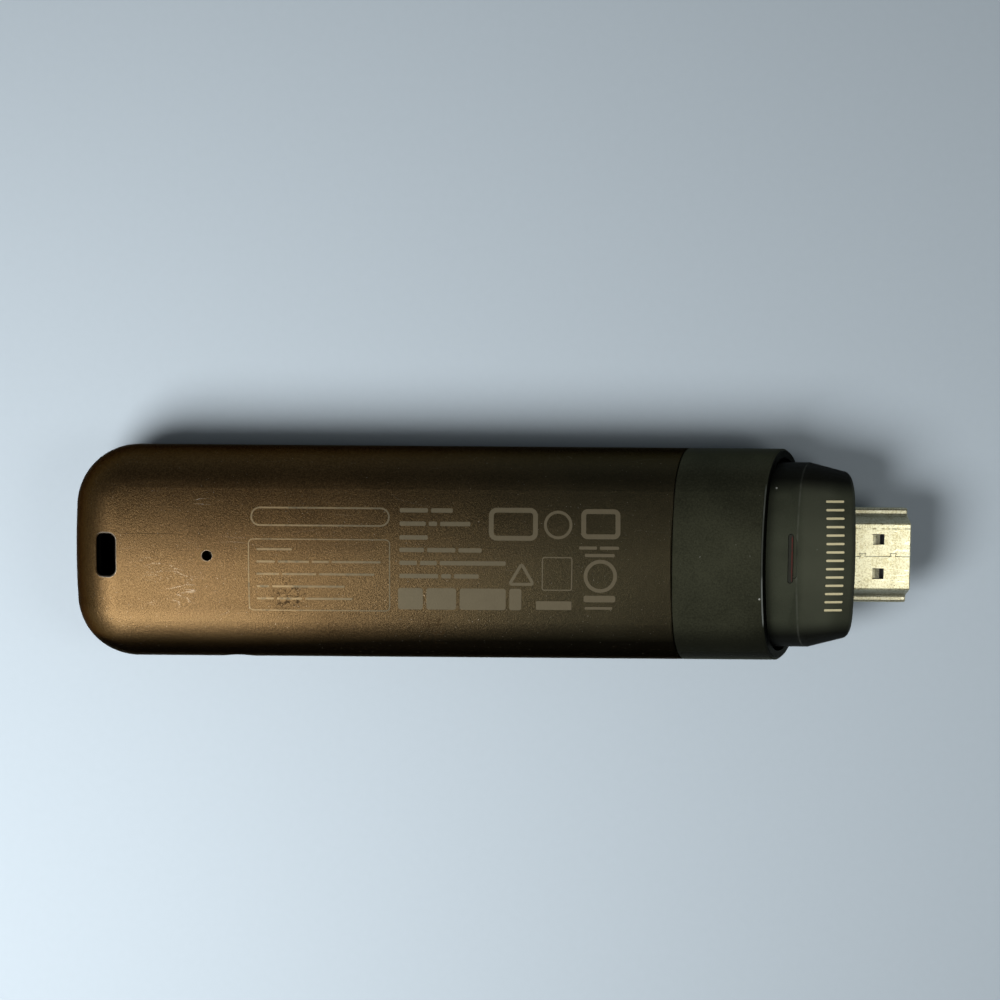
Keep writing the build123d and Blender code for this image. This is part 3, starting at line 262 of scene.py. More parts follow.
class StudioLooks(bpy.types.PropertyGroup):
    """The floor, the lamps and the camera."""

    floor: colour("Floor", "Plain pale floor", (0.462, 0.530, 0.584))
    zenith: colour("Above", "Light from straight above", (0.050, 0.056, 0.060))
    horizon: colour("Horizon", "Light from the sides", (0.40, 0.43, 0.46))
    key_power: power("Key lamp", "Strength of the soft lamp", 1.0)
    fill_power: power("Fill lamp", "Strength of the second lamp", 0.115)
    lens: FloatProperty(
        name="Lens", description="Focal length of the camera", default=49.23, min=1,
        subtype="DISTANCE_CAMERA",
    )
    height: length("Camera height", "How high the camera stands", 208.5)
    roll: FloatProperty(
        name="Roll", description="Turn of the camera about its own axis, in degrees", default=0.45
    )


def dimmed(tint, amount):
    """A colour times an amount, which may be over one."""
    return tuple(amount * part for part in tint)


class Value:
    """A socket of a node tree; arithmetic on it adds Math nodes."""

    def __init__(self, nodes, socket):
        self.nodes = nodes
        self.socket = socket

    def math(self, operation, *others):
        return self.nodes.math(operation, self, *others)

    def __add__(self, other):
        return self.math("ADD", other)

    def __sub__(self, other):
        return self.math("SUBTRACT", other)

    def __mul__(self, other):
        return self.math("MULTIPLY", other)

    def __truediv__(self, other):
        return self.math("DIVIDE", other)

    def __rsub__(self, other):
        return self.nodes.math("SUBTRACT", other, self)

    def __abs__(self):
        return self.math("ABSOLUTE")

    def __pow__(self, other):
        return self.math("POWER", other)

    __radd__ = __add__
    __rmul__ = __mul__

    def smaller(self, other):
        return self.math("MINIMUM", other)

    def step(self, low, high):
        """Rises smoothly from nought at low to one at high; falls where high is the lower one."""
        settings = {"interpolation_type": "SMOOTHSTEP"}
        sockets = {"Value": self, "From Min": low, "From Max": high}
        return self.nodes.node("ShaderNodeMapRange", settings, sockets)

    def band(self, centre, half, soft):
        """One within half of centre, nought outside it, with soft edges."""
        return abs(self - centre).step(half + soft, half)


class Nodes:
    """A node tree, emptied, to which nodes are added."""

    def __init__(self, owner):
        owner.use_nodes = True
        self.tree = owner.node_tree
        self.tree.nodes.clear()

    def node(self, kind, settings=None, sockets=None, output=0):
        """Adds a node: its settings, then its sockets' values or links; returns one output."""
        made = self.tree.nodes.new(kind)
        for name, value in (settings or {}).items():
            setattr(made, name, value)
        for name, value in (sockets or {}).items():
            self.plug(value, made.inputs[name])
        return Value(self, made.outputs[output]) if made.outputs else None

    def plug(self, value, socket):
        """Links a value to a socket, or writes a constant on it."""
        if isinstance(value, Value):
            self.tree.links.new(value.socket, socket)
        elif socket.type == "RGBA":
            socket.default_value = (*value[:3], 1)
        else:
            socket.default_value = value

    def math(self, operation, *values):
        return self.node("ShaderNodeMath", {"operation": operation}, dict(enumerate(values)))

    def vector(self, operation, first, sockets, output=0):
        sockets = {0: first, **sockets}
        return self.node("ShaderNodeVectorMath", {"operation": operation}, sockets, output)

    def mix(self, factor, first, second):
        """A colour between two."""
        sockets = {0: factor, 6: first, 7: second}
        return self.node("ShaderNodeMix", {"data_type": "RGBA"}, sockets, 2)

    def split(self, vector):
        """The three parts of a vector."""
        for part in range(3):
            yield self.node("ShaderNodeSeparateXYZ", sockets={0: vector}, output=part)


class Finish(Nodes):
    """A procedural material, with the stick's millimetres as its coordinates."""

    def __init__(self, name, **shader):
        self.material = bpy.data.materials.new(name)
        super().__init__(self.material)
        self.shader = self.tree.nodes.new("ShaderNodeBsdfPrincipled")
        surface = Value(self, self.shader.outputs[0])
        self.node("ShaderNodeOutputMaterial", sockets={0: surface})
        place = self.node("ShaderNodeTexCoord", output="Object")
        self.place = self.vector("SCALE", place, {"Scale": 1 / MM})
        self.x, self.y, self.z = self.split(self.place)
        self.set(**shader)

    def set(self, **sockets):
        """Gives the shader its values; an underscore in a name stands for a space."""
        for name, value in sockets.items():
            self.plug(value, self.shader.inputs[name.replace("_", " ")])

    def placed(self, turn=0.0, stretch=(1, 1, 1), shift=(0, 0, 0)):
        """The stick's millimetres, turned about Z by degrees and stretched."""
        sockets = {
            0: self.place,
            "Location": shift,
            "Rotation": (0, 0, math.radians(turn)),
            "Scale": stretch,
        }
        return self.node("ShaderNodeMapping", {"vector_type": "POINT"}, sockets)

    def noise(self, size, detail=2.0, place=None, contrast=0.5):
        """Noise with blotches of about size millimetres."""
        sockets = {
            "Vector": place or self.place,
            "Scale": 1 / size,
            "Detail": detail,
            "Roughness": contrast,
        }
        return self.node("ShaderNodeTexNoise", sockets=sockets)

    def cells(self, size, output="Distance"):
        """Cells of about size millimetres."""
        sockets = {"Vector": self.place, "Scale": 1 / size}
        return self.node("ShaderNodeTexVoronoi", sockets=sockets, output=output)

    def specks(self, size, start, detail=1.0, fade=0.03):
        """The few peaks of a fine noise, such as dust."""
        return self.noise(size, detail).step(start, start + fade)

    def swing(self, middle, *patterns):
        """A value about middle that each pattern pushes up and down by its own amount."""
        value = middle
        for pattern, amount in patterns:
            value = value + (pattern - 0.5) * amount
        return value

    def near(self, centre, radius, soft=1.0):
        """One round a point of the plan, fading to nought at radius."""
        along = self.x - centre[0]
        across = self.y - centre[1]
        far = (along * along + across * across) ** 0.5
        return far.step(radius, radius * (1 - soft))

    def spots(self, places):
        """The sum of several soft spots, each with its place, radius and strength."""
        total = 0.0
        for place, radius, strength in places:
            total = self.near(place, radius) * strength + total
        return total

    def bump(self, height, depth):
        """Turns a height of nought to one into relief of a depth in millimetres."""
        sockets = {"Height": height, "Strength": 1.0, "Distance": depth * MM}
        return self.node("ShaderNodeBump", sockets=sockets, output="Normal")

    def ridges(self, size, detail, place, slim):
        """Thin lines where a noise crosses its middle."""
        return abs(self.noise(size, detail, place) - 0.5).step(slim, slim * 0.3)

    def lines(self, size, turn, slim, length_share=9.0, shift=(0, 0, 0)):
        """Thin broken lines at an angle, such as fine scratches."""
        return self.ridges(size, 1.0, self.placed(turn, (1 / length_share, 1, 1), shift), slim)

    def hairs(self, size, slim, shift=(0, 0, 0)):
        """Thin curved lines, such as hair scratches and cracks."""
        return self.ridges(size, 2.0, self.placed(shift=shift), slim)

    def flank(self, top):
        """One at mid height on the sides, fading to nought towards the two broad faces."""
        return self.z.step(top, top - 6.0) * self.z.step(0.8, 5.0)

    def seen(self):
        """One for rays that show the background: from the camera, mirrored or refracted."""
        rays = ("Is Camera Ray", "Is Glossy Ray", "Is Transmission Ray")
        first, second, third = (self.node("ShaderNodeLightPath", output=ray) for ray in rays)
        return (first + second + third).smaller(1.0)

    def dress(self, *pieces):
        """Gives the material to pieces, or to nodes of the frame by their names."""
        for piece in pieces:
            if isinstance(piece, str):
                piece = node(piece)
            piece.data.materials.clear()
            piece.data.materials.append(self.material)


def plain_finish(
    name, pieces, tones, roughness, relief, size, detail=3.0, stretch=(1, 1, 1), contrast=0.5,
    **shader,
):
    """A finish whose one pattern moves its colour, its roughness and its relief.

    tones and roughness hold what the pattern's nought and its one give.
    """
    f = Finish(name, **shader)
    pattern = f.noise(size, detail, f.placed(stretch=stretch), contrast)
    low, high = roughness
    f.set(
        Base_Color=f.mix(pattern, *tones),
        Roughness=low + pattern * (high - low),
        Normal=f.bump(pattern, relief),
    )
    f.dress(*pieces)


def node(name):
    """A node of the frame."""
    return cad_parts[name]


def clear_selection():
    """Leaves nothing selected, in object mode."""
    if bpy.context.object and bpy.context.object.mode != "OBJECT":
        bpy.ops.object.mode_set(mode="OBJECT")
    bpy.ops.object.select_all(action="DESELECT")


def new_piece(name):
    """An empty piece at the origin, open in edit mode, that rides with the stick."""
    clear_selection()
    piece = bpy.data.objects.new(name, bpy.data.meshes.new(name))
    bpy.context.scene.collection.objects.link(piece)
    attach(piece, BODY)
    bpy.context.view_layer.objects.active = piece
    piece.select_set(True)
    bpy.ops.object.mode_set(mode="EDIT")
    return piece


def apply_modifier(piece, name, kind, **settings):
    """Adds a modifier and applies it."""
    modifier = piece.modifiers.new(name, kind)
    for key, value in settings.items():
        setattr(modifier, key, value)
    bpy.ops.object.modifier_apply(modifier=modifier.name)


def flat_bar(x, y, width, height, corner, segments=4):
    """A flat rounded bar over the stick, in millimetres, added to the piece in edit mode."""
    bpy.ops.mesh.select_all(action="DESELECT")
    centre = (x * MM, y * MM, HOVER)
    bpy.ops.mesh.primitive_plane_add(size=MM, location=centre)
    bpy.ops.transform.resize(value=(width, height, 1), center_override=centre)
    bpy.ops.mesh.bevel(offset=corner * MM, segments=segments, affect="VERTICES")


def hollow(stroke):
    """Leaves only an outline of the flat shape just added."""
    bpy.ops.mesh.inset(thickness=stroke * MM, use_even_offset=True)
    bpy.ops.mesh.delete(type="FACE")


def flat_outline(x, y, width, height, corner, stroke):
    """A rounded outline over the stick."""
    flat_bar(x, y, width, height, corner, segments=6)
    hollow(stroke)


def flat_ring(x, y, diameter, stroke, corners=48, corner=0.0):
    """A ring, or with few corners a rounded polygon outline, over the stick."""
    bpy.ops.mesh.select_all(action="DESELECT")
    centre = (x * MM, y * MM, HOVER)
    bpy.ops.mesh.primitive_circle_add(
        vertices=corners, radius=diameter / 2 * MM, fill_type="NGON", location=centre
    )
    if corner:
        bpy.ops.mesh.bevel(offset=corner * MM, segments=5, affect="VERTICES")
    hollow(stroke)


def bar_rows(height, rows):
    """Rows of plain bars in place of lines of text."""
    for y, start, end, gaps in rows:
        stops = [start, *gaps, end]
        for here, there in zip(stops, stops[1:]):
            middle = (here + there) / 2 - BAR_SHIFT
            flat_bar(middle, y, there - here - BAR_GAP, height, height * 0.3, segments=3)


def lay_on(piece, target, thickness):
    """Lays the flat shapes on the surface below them and gives them their thickness."""
    bpy.ops.object.mode_set(mode="OBJECT")
    corners = [vertex.co.y for vertex in piece.data.vertices]
    cut = min(corners) + SLICE
    bpy.ops.object.mode_set(mode="EDIT")
    while cut < max(corners):
        bpy.ops.mesh.select_all(action="SELECT")
        bpy.ops.mesh.bisect(plane_co=(0, cut, 0), plane_no=(0, 1, 0))
        cut += SLICE
    bpy.ops.object.mode_set(mode="OBJECT")
    apply_modifier(
        piece, "Lay", "SHRINKWRAP", target=target, wrap_method="PROJECT", use_project_z=True,
        use_negative_direction=True, use_positive_direction=False, offset=thickness,
    )
    apply_modifier(piece, "Body", "SOLIDIFY", thickness=DEPTH * thickness, offset=-1.0)
    clear_selection()


class STICK_OT_shell(bpy.types.Operator):
    """Finish the anodised shell, with its grain, scratches and cut edges, and its painted
    highlights, glints and shade.
    """

    bl_idname = "stick.shell"
    bl_label = "Shell"

    def shade(self, f, base, looks):
        """Painted light and shade: painted shade greys the end by the collar, a painted highlight
        lies along the lower edge, and painted shade darkens the sides.
        """
        # Painted shade: the end by the collar is darkened and greyed towards the collar's colour
        base = f.mix(f.x.step(-34.0, 20.0) * 0.74, base, looks.collar)
        # Painted highlight: a band of lighter bronze along the lower edge
        lit = f.y.band(-10.2, 1.2, 2.0) * f.x.step(-20.0, -36.0) * 0.42
        base = f.mix(lit, base, looks.lit_bronze)
        lower = f.y.step(-8.0, -12.5) * f.x.step(-38.0, 0.0) * 0.5
        lowest = f.y.step(-11.0, -13.2) * 0.75
        upper_half = f.z.step(*UPPER_HALF)
        shaded = (f.flank(15.6) * 0.6 + (lower + lowest) * upper_half).smaller(MOST_SHADE)
        return f.mix(shaded, base, SHELL_SHADE)

    def wear(self, f, grain):
        """Fine scratches in two clusters beside the slot, two nicks and a few stray lines."""
        scratch = f.lines(1.3, 34, 0.018, 5.0) + f.lines(1.1, -38, 0.008, 5.0, (3, 5, 0)) * 0.5
        scratch = scratch + f.hairs(2.6, 0.003) * 0.3
        scratch = scratch * grain.step(0.42, 0.60) * f.noise(3.0, 1.0).step(0.36, 0.58)
        upper = f.near(*UPPER_NICK) * f.lines(0.9, 20, 0.012, 7.0, (2, 0, 0))
        lower = f.near(*LOWER_NICK) * f.lines(0.8, 34, 0.03, 6.0, (1, 1, 0)) * 0.25
        stray = f.lines(4.0, 52, 0.0012, 9.0, (1, 4, 0)) * f.noise(6.0).step(0.52, 0.7)
        return scratch * f.spots(SCRATCH_SPOTS) * 0.36 + (upper + lower) * 0.8 + stray * 0.25

    def dirt(self, f):
        """Dark specks and smudges, a thin film of dirt and a thin dark line beside the slot."""
        speck = f.noise(0.8, 4.0, contrast=0.72).step(0.455, 0.36)
        speck = speck + f.hairs(1.5, 0.034, (0, 3, 7)) * 0.35
        film = f.noise(0.7, 4.0, contrast=0.75).step(0.38, 0.30)
        film = film * f.noise(11.0).step(0.45, 0.65) * 0.5
        thin_line = f.y.band(LINE_BY_SLOT[1], 0.03, 0.08) * f.x.band(LINE_BY_SLOT[0], 3.0, 2.0) * 0.5
        return speck * f.spots(DIRT_SPOTS) + film + thin_line

    def from_cuts(self, f):
        """How far the slot and the pinhole are, in millimetres."""
        corner = f.vector("ABSOLUTE", f.vector("SUBTRACT", f.place, {1: (*SLOT, 0)}), {})
        inner = (SLOT_HALF[0] - SLOT_CORNER, SLOT_HALF[1] - SLOT_CORNER, 99.0)
        corner = f.vector("MAXIMUM", f.vector("SUBTRACT", corner, {1: inner}), {1: (0, 0, 0)})
        aside = f.x - PINHOLE[0]
        from_slot = f.vector("LENGTH", corner, {}, "Value") - SLOT_CORNER
        return from_slot, (aside * aside + f.y * f.y) ** 0.5 - PINHOLE_RADIUS

    def execute(self, context):
        looks = context.scene.stick_shell
        f = Finish("bronze_aluminium", Specular_IOR_Level=0.0, Specular_Tint=(0.30, 0.26, 0.20))
        grain = f.noise(looks.grain_size / MM, 3.0, contrast=0.7)
        fine = f.noise(0.11, 1.0)
        cloud = f.noise(9.0, 3.0)
        tone = f.swing(0.5, (cloud, 0.9), (grain, 5.2), (fine, 1.6)).step(0.0, 1.0)
        base = self.shade(f, f.mix(tone, looks.deep_bronze, looks.bronze), looks)
        on_top = f.z.step(11.0, 14.0)
        worn = (self.wear(f, grain) * on_top * looks.wear).smaller(1.0)
        base = f.mix(worn, base, looks.bare_metal)
        dirt = (self.dirt(f) * on_top).smaller(0.85)
        base = f.mix(dirt, base, looks.grime)
        # Pale bare-metal rims where the slot and the pinhole are cut, partly a painted highlight
        # on their bevels, and painted shade on the walls inside them
        from_slot, from_hole = self.from_cuts(f)
        bare_rim_and_highlight = from_slot.band(0.13, 0.05, 0.06) * 0.8 + from_hole.band(0.10, 0.03, 0.05) * 0.22
        base = f.mix(bare_rim_and_highlight * f.z.step(16.2, 16.6) * (0.4 + 0.6 * grain), base, looks.bare_metal)
        # Painted shade: the walls inside the slot and the pinhole are made pitch dark
        shaded_hollows = from_slot.step(0.05, 0.02) + from_hole.step(0.05, 0.02)
        shaded_hollows = shaded_hollows * f.z.step(10.0, 11.0)
        base = f.mix(shaded_hollows, base, PITCH_DARK)
        # Painted glints: sparse pale specks stand in for the sparkle of the finish
        base = f.mix(f.specks(0.16, 0.83, 0.0) * 0.35, base, SHELL_GLINT)
        rough = f.swing(looks.shell_roughness, (cloud, 0.10), (grain, 0.16))
        f.set(
            Base_Color=base,
            Roughness=rough + dirt * 0.25 - worn * 0.1 + shaded_hollows * 0.5,
            Metallic=1.0 - shaded_hollows,
            Normal=f.bump(grain * 0.8 + fine * 0.2 - worn * 0.4, 0.048),
        )
        f.dress("body_shell")
        return {"FINISHED"}


class STICK_OT_collar(bpy.types.Operator):
    """Finish the painted collar, with a painted highlight along its partly worn mouth edge."""

    bl_idname = "stick.collar"
    bl_label = "Collar"

    def execute(self, context):
        looks = context.scene.stick_shell
        f = Finish("bronze_plastic", Specular_IOR_Level=0.3, Specular_Tint=(0.4, 0.4, 0.32))
        grain = f.noise(0.24, 2.0, contrast=0.6)
        cloud = f.noise(7.0, 2.0)
        tone = f.swing(0.5, (cloud, 0.9), (grain, 1.2)).step(0, 1)
        base = f.mix(tone, dimmed(looks.collar, 0.75), dimmed(looks.collar, 1.45))
        lower = f.y.step(-9.0, -13.0) * 0.75 * f.z.step(*UPPER_HALF)
        shaded = (f.flank(14.6) * 0.6 + lower).smaller(MOST_SHADE)
        base = f.mix(shaded, base, COLLAR_SHADE)
        # A painted highlight runs along the edge at the mouth, broken where it is rubbed, and
        # painted shade makes its end face near black
        back = (MOUTH - f.x - MOUTH_SLOPE * f.z) / math.hypot(1, MOUTH_SLOPE)
        base = f.mix(back.step(0.10, 0.04), base, MOUTH_FACE_SHADE)
        # Painted highlight on the chamfer at the mouth, partly bare where rubbed
        patch = f.noise(5.0, 1.0, f.placed(stretch=(0.2, 1, 0.4))).step(0.34, 0.52)
        edge = back.band(0.14, 0.05, 0.04) * f.y.band(0.5, 9.2, 1.2) * (0.2 + 0.65 * patch)
        base = f.mix(edge, base, MOUTH_EDGE_HIGHLIGHT)
        speck = (f.specks(0.4, 0.80) * 0.4 + f.near(COLLAR_CHIP, 0.17, 0.4)).smaller(1.0)
        base = f.mix(speck, base, COLLAR_SPECK)
        f.set(
            Base_Color=base,
            Roughness=f.swing(looks.collar_roughness, (grain, 0.14), (cloud, 0.08)) - edge * 0.14,
            Metallic=0.8 + edge * 0.1,
            Normal=f.bump(grain, 0.012),
        )
        f.dress("antenna_collar")
        return {"FINISHED"}


class STICK_OT_head(bpy.types.Operator):
    """Finish the moulded connector head and the catch in its window."""

    bl_idname = "stick.head"
    bl_label = "Connector head"

    def execute(self, context):
        looks = context.scene.stick_head
        f = Finish(
            "black_plastic", Specular_IOR_Level=0.3, Metallic=0.7, Specular_Tint=(0.3, 0.3, 0.25)
        )
        grain = f.noise(0.16, 2.0, contrast=0.6)
        cloud = f.noise(5.0, 2.0)
        tone = f.swing(0.5, (cloud, 1.0), (grain, 0.8)).step(0, 1)
        base = f.mix(tone, dimmed(looks.plastic, 0.8), dimmed(looks.plastic, 1.3))
        # Painted light: the narrowing face that tilts towards the light is made lighter
        lit_taper = f.x.step(43.0, 44.5) * f.x.step(50.0, 47.5)
        base = f.mix(lit_taper * 0.3, base, HEAD_TAPER_LIGHT)
        shaded = (f.flank(14.4) * 0.7 + abs(f.y).step(8.8, 11.8) * 0.88).smaller(MOST_SHADE)
        base = f.mix(shaded, base, HEAD_SHADE)
        # A faint painted highlight along the line where the head starts to narrow, and rubbed
        # edges at the face
        thin_line = (f.x + BREAK_SLOPE * f.z - BREAK).band(0.0, 0.05, 0.14)
        thin_line = thin_line * (0.3 + 0.7 * f.noise(2.0).step(0.35, 0.6))
        rubbed = f.x.step(HEAD_FACE - 0.7, HEAD_FACE - 0.25)
        rubbed = rubbed * f.x.step(HEAD_FACE + 0.1, HEAD_FACE - 0.1)
        pale = (thin_line + rubbed) * 0.10
        base = f.mix(pale, base, HEAD_HIGHLIGHT_AND_RUB)
        lint = (f.near(HEAD_LINT, 0.15, 0.4) + f.specks(0.3, 0.82) * 0.4).smaller(1.0)
        base = f.mix(lint, base, HEAD_SPECK)
        rough = f.swing(looks.roughness, (grain, 0.18)) - pale * 0.4
        f.set(Base_Color=base, Roughness=rough, Normal=f.bump(grain, 0.014))
        f.dress("connector_head")

        c = Finish("catch_plastic", Roughness=0.6, Specular_IOR_Level=0.15)
        mottle = c.noise(0.4, 3.0)
        base = c.mix(mottle, (0.012, 0.013, 0.009), (0.022, 0.023, 0.016))
        line = c.x.band(WINDOW_X, 0.05, 0.06) * c.y.band(0.0, WINDOW_HALF, 0.4)
        line = line * (0.5 + 0.5 * c.noise(0.6).step(0.4, 0.6))
        c.set(Base_Color=c.mix(line, base, looks.catch), Normal=c.bump(mottle, 0.01))
        c.dress("cap_catch")
        return {"FINISHED"}


class STICK_OT_plug(bpy.types.Operator):
    """Finish the plated plug, the sockets, their insulators and their contacts."""

    bl_idname = "stick.plug"
    bl_label = "Plug"

    def plug_shell(self, looks):
        """Grainy pale plating, with pits, painted shade on its flanks and a rubbed tip."""
        f = Finish("plug_plating")
        blot = f.noise(0.30, 3.0, contrast=0.65)
        fine = f.noise(0.12, 1.0)
        stain = f.noise(2.2, 3.0)
        tone = f.swing(0.58, (blot, 3.0), (fine, 1.0), (stain, 0.8)).step(0.1, 0.9)
        base = f.mix(tone, looks.dull_plating, looks.plating)
        pit = f.cells(0.62).step(0.17, 0.10) * f.noise(1.6).step(0.42, 0.56)
        dash = f.noise(0.5, 0.0, f.placed(stretch=(1, 0.1, 0.1))).step(0.5, 0.56)
        dash = f.y.band(TABS_Y, 0.05, 0.06) * dash
        dark = (pit * 0.6 + dash * 0.5) * f.z.step(10.3, 10.6)
        base = f.mix(dark, base, PLUG_PIT)
        # Painted shade darkens the slanted flanks, the sunk tabs and what lies below the ledges
        tone_and_shade = f.z.band(9.72, 0.8, 0.12) * 0.62 + f.z.band(TAB_FLOOR_Z, 0.05, 0.08) * 0.3
        tone_and_shade = (tone_and_shade + f.z.step(9.0, 8.8) * 0.42).smaller(0.62)
        base = f.mix(tone_and_shade, base, PLUG_FLANK_SHADE)
        rub = f.lines(0.5, 0, 0.02, 12.0) * f.x.step(54.0, 58.0)
        base = f.mix(rub * 0.15, base, PLUG_TIP)
        f.set(
            Base_Color=base,
            Roughness=f.swing(looks.roughness, (blot, 0.30)) + dark * 0.2 - rub * 0.1,
            Metallic=0.94,
            Normal=f.bump(blot * 0.6 + fine * 0.4 - dark, 0.012),
        )
        f.dress("hdmi_plug_shell")

    def socket_shell(self, looks):
        """Brushed steel, with painted shade that blackens it under the security slot."""
        f = Finish("socket_steel", Metallic=1.0)
        brushed = f.noise(0.5, 3.0, f.placed(stretch=(0.12, 1, 1)))
        steel = f.mix(brushed, dimmed(looks.steel, 0.72), looks.steel)
        # Painted shade: the steel seen through the security slot is made black
        shade_under_slot = f.near(SLOT, SLOT_SHADE_RADIUS, 0.1) * f.z.step(10.9, 11.1)
        f.set(
            Base_Color=f.mix(shade_under_slot, steel, PITCH_DARK),
            Roughness=0.26 + brushed * 0.2 + shade_under_slot * 0.5,
            Normal=f.bump(brushed, 0.006),
        )
        f.dress("usb_socket_shell")

    def contacts(self, looks):
        """Gold plating, wiped along the stick."""
        f = Finish("contact_gold", Metallic=1.0)
        wiped = f.lines(0.3, 0, 0.05, 10.0)
        cloud = f.noise(0.8, 2.0)
        gold = f.mix(cloud, dimmed(looks.gold, 0.8), looks.gold)
        f.set(
            Base_Color=f.mix(wiped * 0.3, gold, WIPED_GOLD),
            Roughness=0.22 + cloud * 0.14,
            Normal=f.bump(wiped, 0.003),
        )
        f.dress("hdmi_contacts", "coax_sockets", "dc_jack_pin", "usb_contacts")

    def insulators(self, looks):
        """Dark moulded plastic."""
        f = Finish("dark_insulator")
        grain = f.noise(0.14, 2.0)
        sheen = f.noise(3.0, 2.0)
        tone = grain * 0.6 + sheen * 0.4
        f.set(
            Base_Color=f.mix(tone, looks.insulator, dimmed(looks.insulator, 1.5)),
            Roughness=f.swing(0.42, (grain, 0.2), (sheen, 0.15)),
            Normal=f.bump(grain, 0.008),
        )
        f.dress(
            "hdmi_insulator", "chassis_tray", "recovery_switch_case", "dc_jack_body", "usb_tongue"
        )

    def execute(self, context):
        looks = context.scene.stick_plug
        self.plug_shell(looks)
        self.socket_shell(looks)
        self.contacts(looks)
        self.insulators(looks)
        plain_finish(
            "spring_steel",
            ("antenna_left", "antenna_right", "recovery_dome", "dc_jack_leaf", "board_screws"),
            tones=((0.36, 0.36, 0.35), (0.52, 0.52, 0.50)), roughness=(0.30, 0.52), relief=0.005,
            size=0.4, stretch=(0.1, 1, 1), Metallic=1.0,
        )
        plain_finish(
            "lock_steel", ("lock_plate",),
            tones=((0.004, 0.004, 0.004), (0.010, 0.009, 0.008)), roughness=(0.50, 0.80),
            relief=0.01, size=0.35, Metallic=0.5, Specular_IOR_Level=0.2,
        )
        return {"FINISHED"}


class STICK_OT_board(bpy.types.Operator):
    """Finish the boards and all that stands on them."""

    bl_idname = "stick.board"
    bl_label = "Board and chips"

    def boards(self, looks):
        """Tracks in two sets of lines at right angles, with vias and bare edges."""
        f = Finish("circuit_board")
        lane = (f.y / 0.5 + f.cells(3.4, output="Color") * 0.6).math("FRACT")
        lane = abs(lane - 0.5).step(0.24, 0.18)
        row = abs((f.x / 0.55).math("FRACT") - 0.5).step(0.22, 0.16)
        patch = f.noise(4.5, 1.0).step(0.48, 0.50)
        track = lane * patch + row * (1 - patch)
        via = f.cells(1.25).step(0.16, 0.12)
        edge = f.z.band(MID, BOARD_HALF + 0.04, 0.02) * f.z.band(MID, BOARD_HALF, 0.04)
        tint = f.mix(track * 0.8, looks.mask, looks.copper)
        tint = f.mix(via, tint, VIA)
        tint = f.mix(edge, tint, BOARD_EDGE)
        f.set(
            Base_Color=tint,
            Roughness=0.34 - via * 0.08,
            Metallic=via * 0.8,
            Normal=f.bump(track * 0.6 + via, 0.02),
        )
        f.dress("main_board", "radio_module")

    def chips(self, looks):
        """Moulded black epoxy."""
        f = Finish("chip_epoxy")
        moulded = f.noise(0.13, 2.0)
        tone_and_shade = f.noise(2.0, 2.0)
        f.set(
            Base_Color=f.mix((moulded + tone_and_shade) * 0.5, looks.chip, dimmed(looks.chip, 1.7)),
            Roughness=f.swing(0.50, (moulded, 0.25)),
            Normal=f.bump(moulded, 0.008),
        )
        f.dress(
            "soc_chip", "memory_chips", "storage_chip", "power_chip", "flash_chip",
            "power_inductors", "driver_chip",
        )

    def shields(self, looks):
        """Drawn tin plate with a faint spangle."""
        f = Finish("shield_tin", Metallic=1.0)
        spangle = f.cells(1.6, output="Color")
        drawn = f.noise(0.5, 3.0, f.placed(stretch=(0.15, 1, 1)))
        f.set(
            Base_Color=f.mix(spangle, dimmed(looks.tin, 0.8), looks.tin),
            Roughness=0.26 + drawn * 0.22,
            Normal=f.bump(drawn, 0.005),
        )
        f.dress("shield_frame", "shield_lid", "crystals", "radio_can")

    def tantalums(self):
        """Yellow moulded bodies, each with a dark stripe at its positive end."""
        f = Finish("tantalum_body")
        crumb = f.noise(0.2, 2.0)
        stripe = f.x.math("FRACT").step(0.78, 0.82)
        shade = f.mix(crumb, (0.42, 0.24, 0.04), (0.56, 0.34, 0.07))
        f.set(
            Base_Color=f.mix(stripe * 0.8, shade, TANTALUM_STRIPE),
            Roughness=0.45 + crumb * 0.15,
            Normal=f.bump(crumb, 0.006),
        )
        f.dress("tantalum_capacitors")

    def gasket(self):
        """Open foam."""
        f = Finish("gasket_foam", Roughness=0.92)
        pore = f.cells(0.22)
        f.set(
            Base_Color=f.mix(pore.step(0.1, 0.5), (0.010, 0.010, 0.011), (0.045, 0.045, 0.048)),
            Normal=f.bump(pore, 0.05),
        )
        f.dress("plug_gasket")

    def execute(self, context):
        looks = context.scene.stick_inside
        self.boards(looks)
        self.chips(looks)
        self.shields(looks)
        self.tantalums()
        self.gasket()
        plain_finish(
            "spreader_aluminium", ("heat_spreader",),
            tones=(dimmed(looks.aluminium, 0.82), looks.aluminium), roughness=(0.30, 0.54),
            relief=0.008, size=0.35, stretch=(1, 0.08, 1), Metallic=1.0,
        )
        plain_finish(
            "thermal_pad", ("soc_pad", "lid_pad"),
            tones=(dimmed(looks.pad, 0.78), looks.pad), roughness=(0.8, 0.8), relief=0.03,
            size=0.25,
        )
        plain_finish(
            "insulating_film", ("insulating_film",),
            tones=((0.34, 0.16, 0.02), (0.48, 0.26, 0.05)), roughness=(0.3, 0.3), relief=0.03,
            size=1.4,
        )
        plain_finish(
            "ceramic_body", ("chip_capacitors",),
            tones=((0.34, 0.24, 0.14), (0.46, 0.35, 0.22)), roughness=(0.4, 0.6), relief=0.005,
            size=0.16, detail=2.0,
        )
        plain_finish(
            "cable_jacket", ("coax_lead_left", "coax_lead_right"),
            tones=((0.018, 0.018, 0.019), (0.034, 0.034, 0.036)), roughness=(0.4, 0.4),
            relief=0.006, size=0.3, detail=2.0,
        )
        return {"FINISHED"}


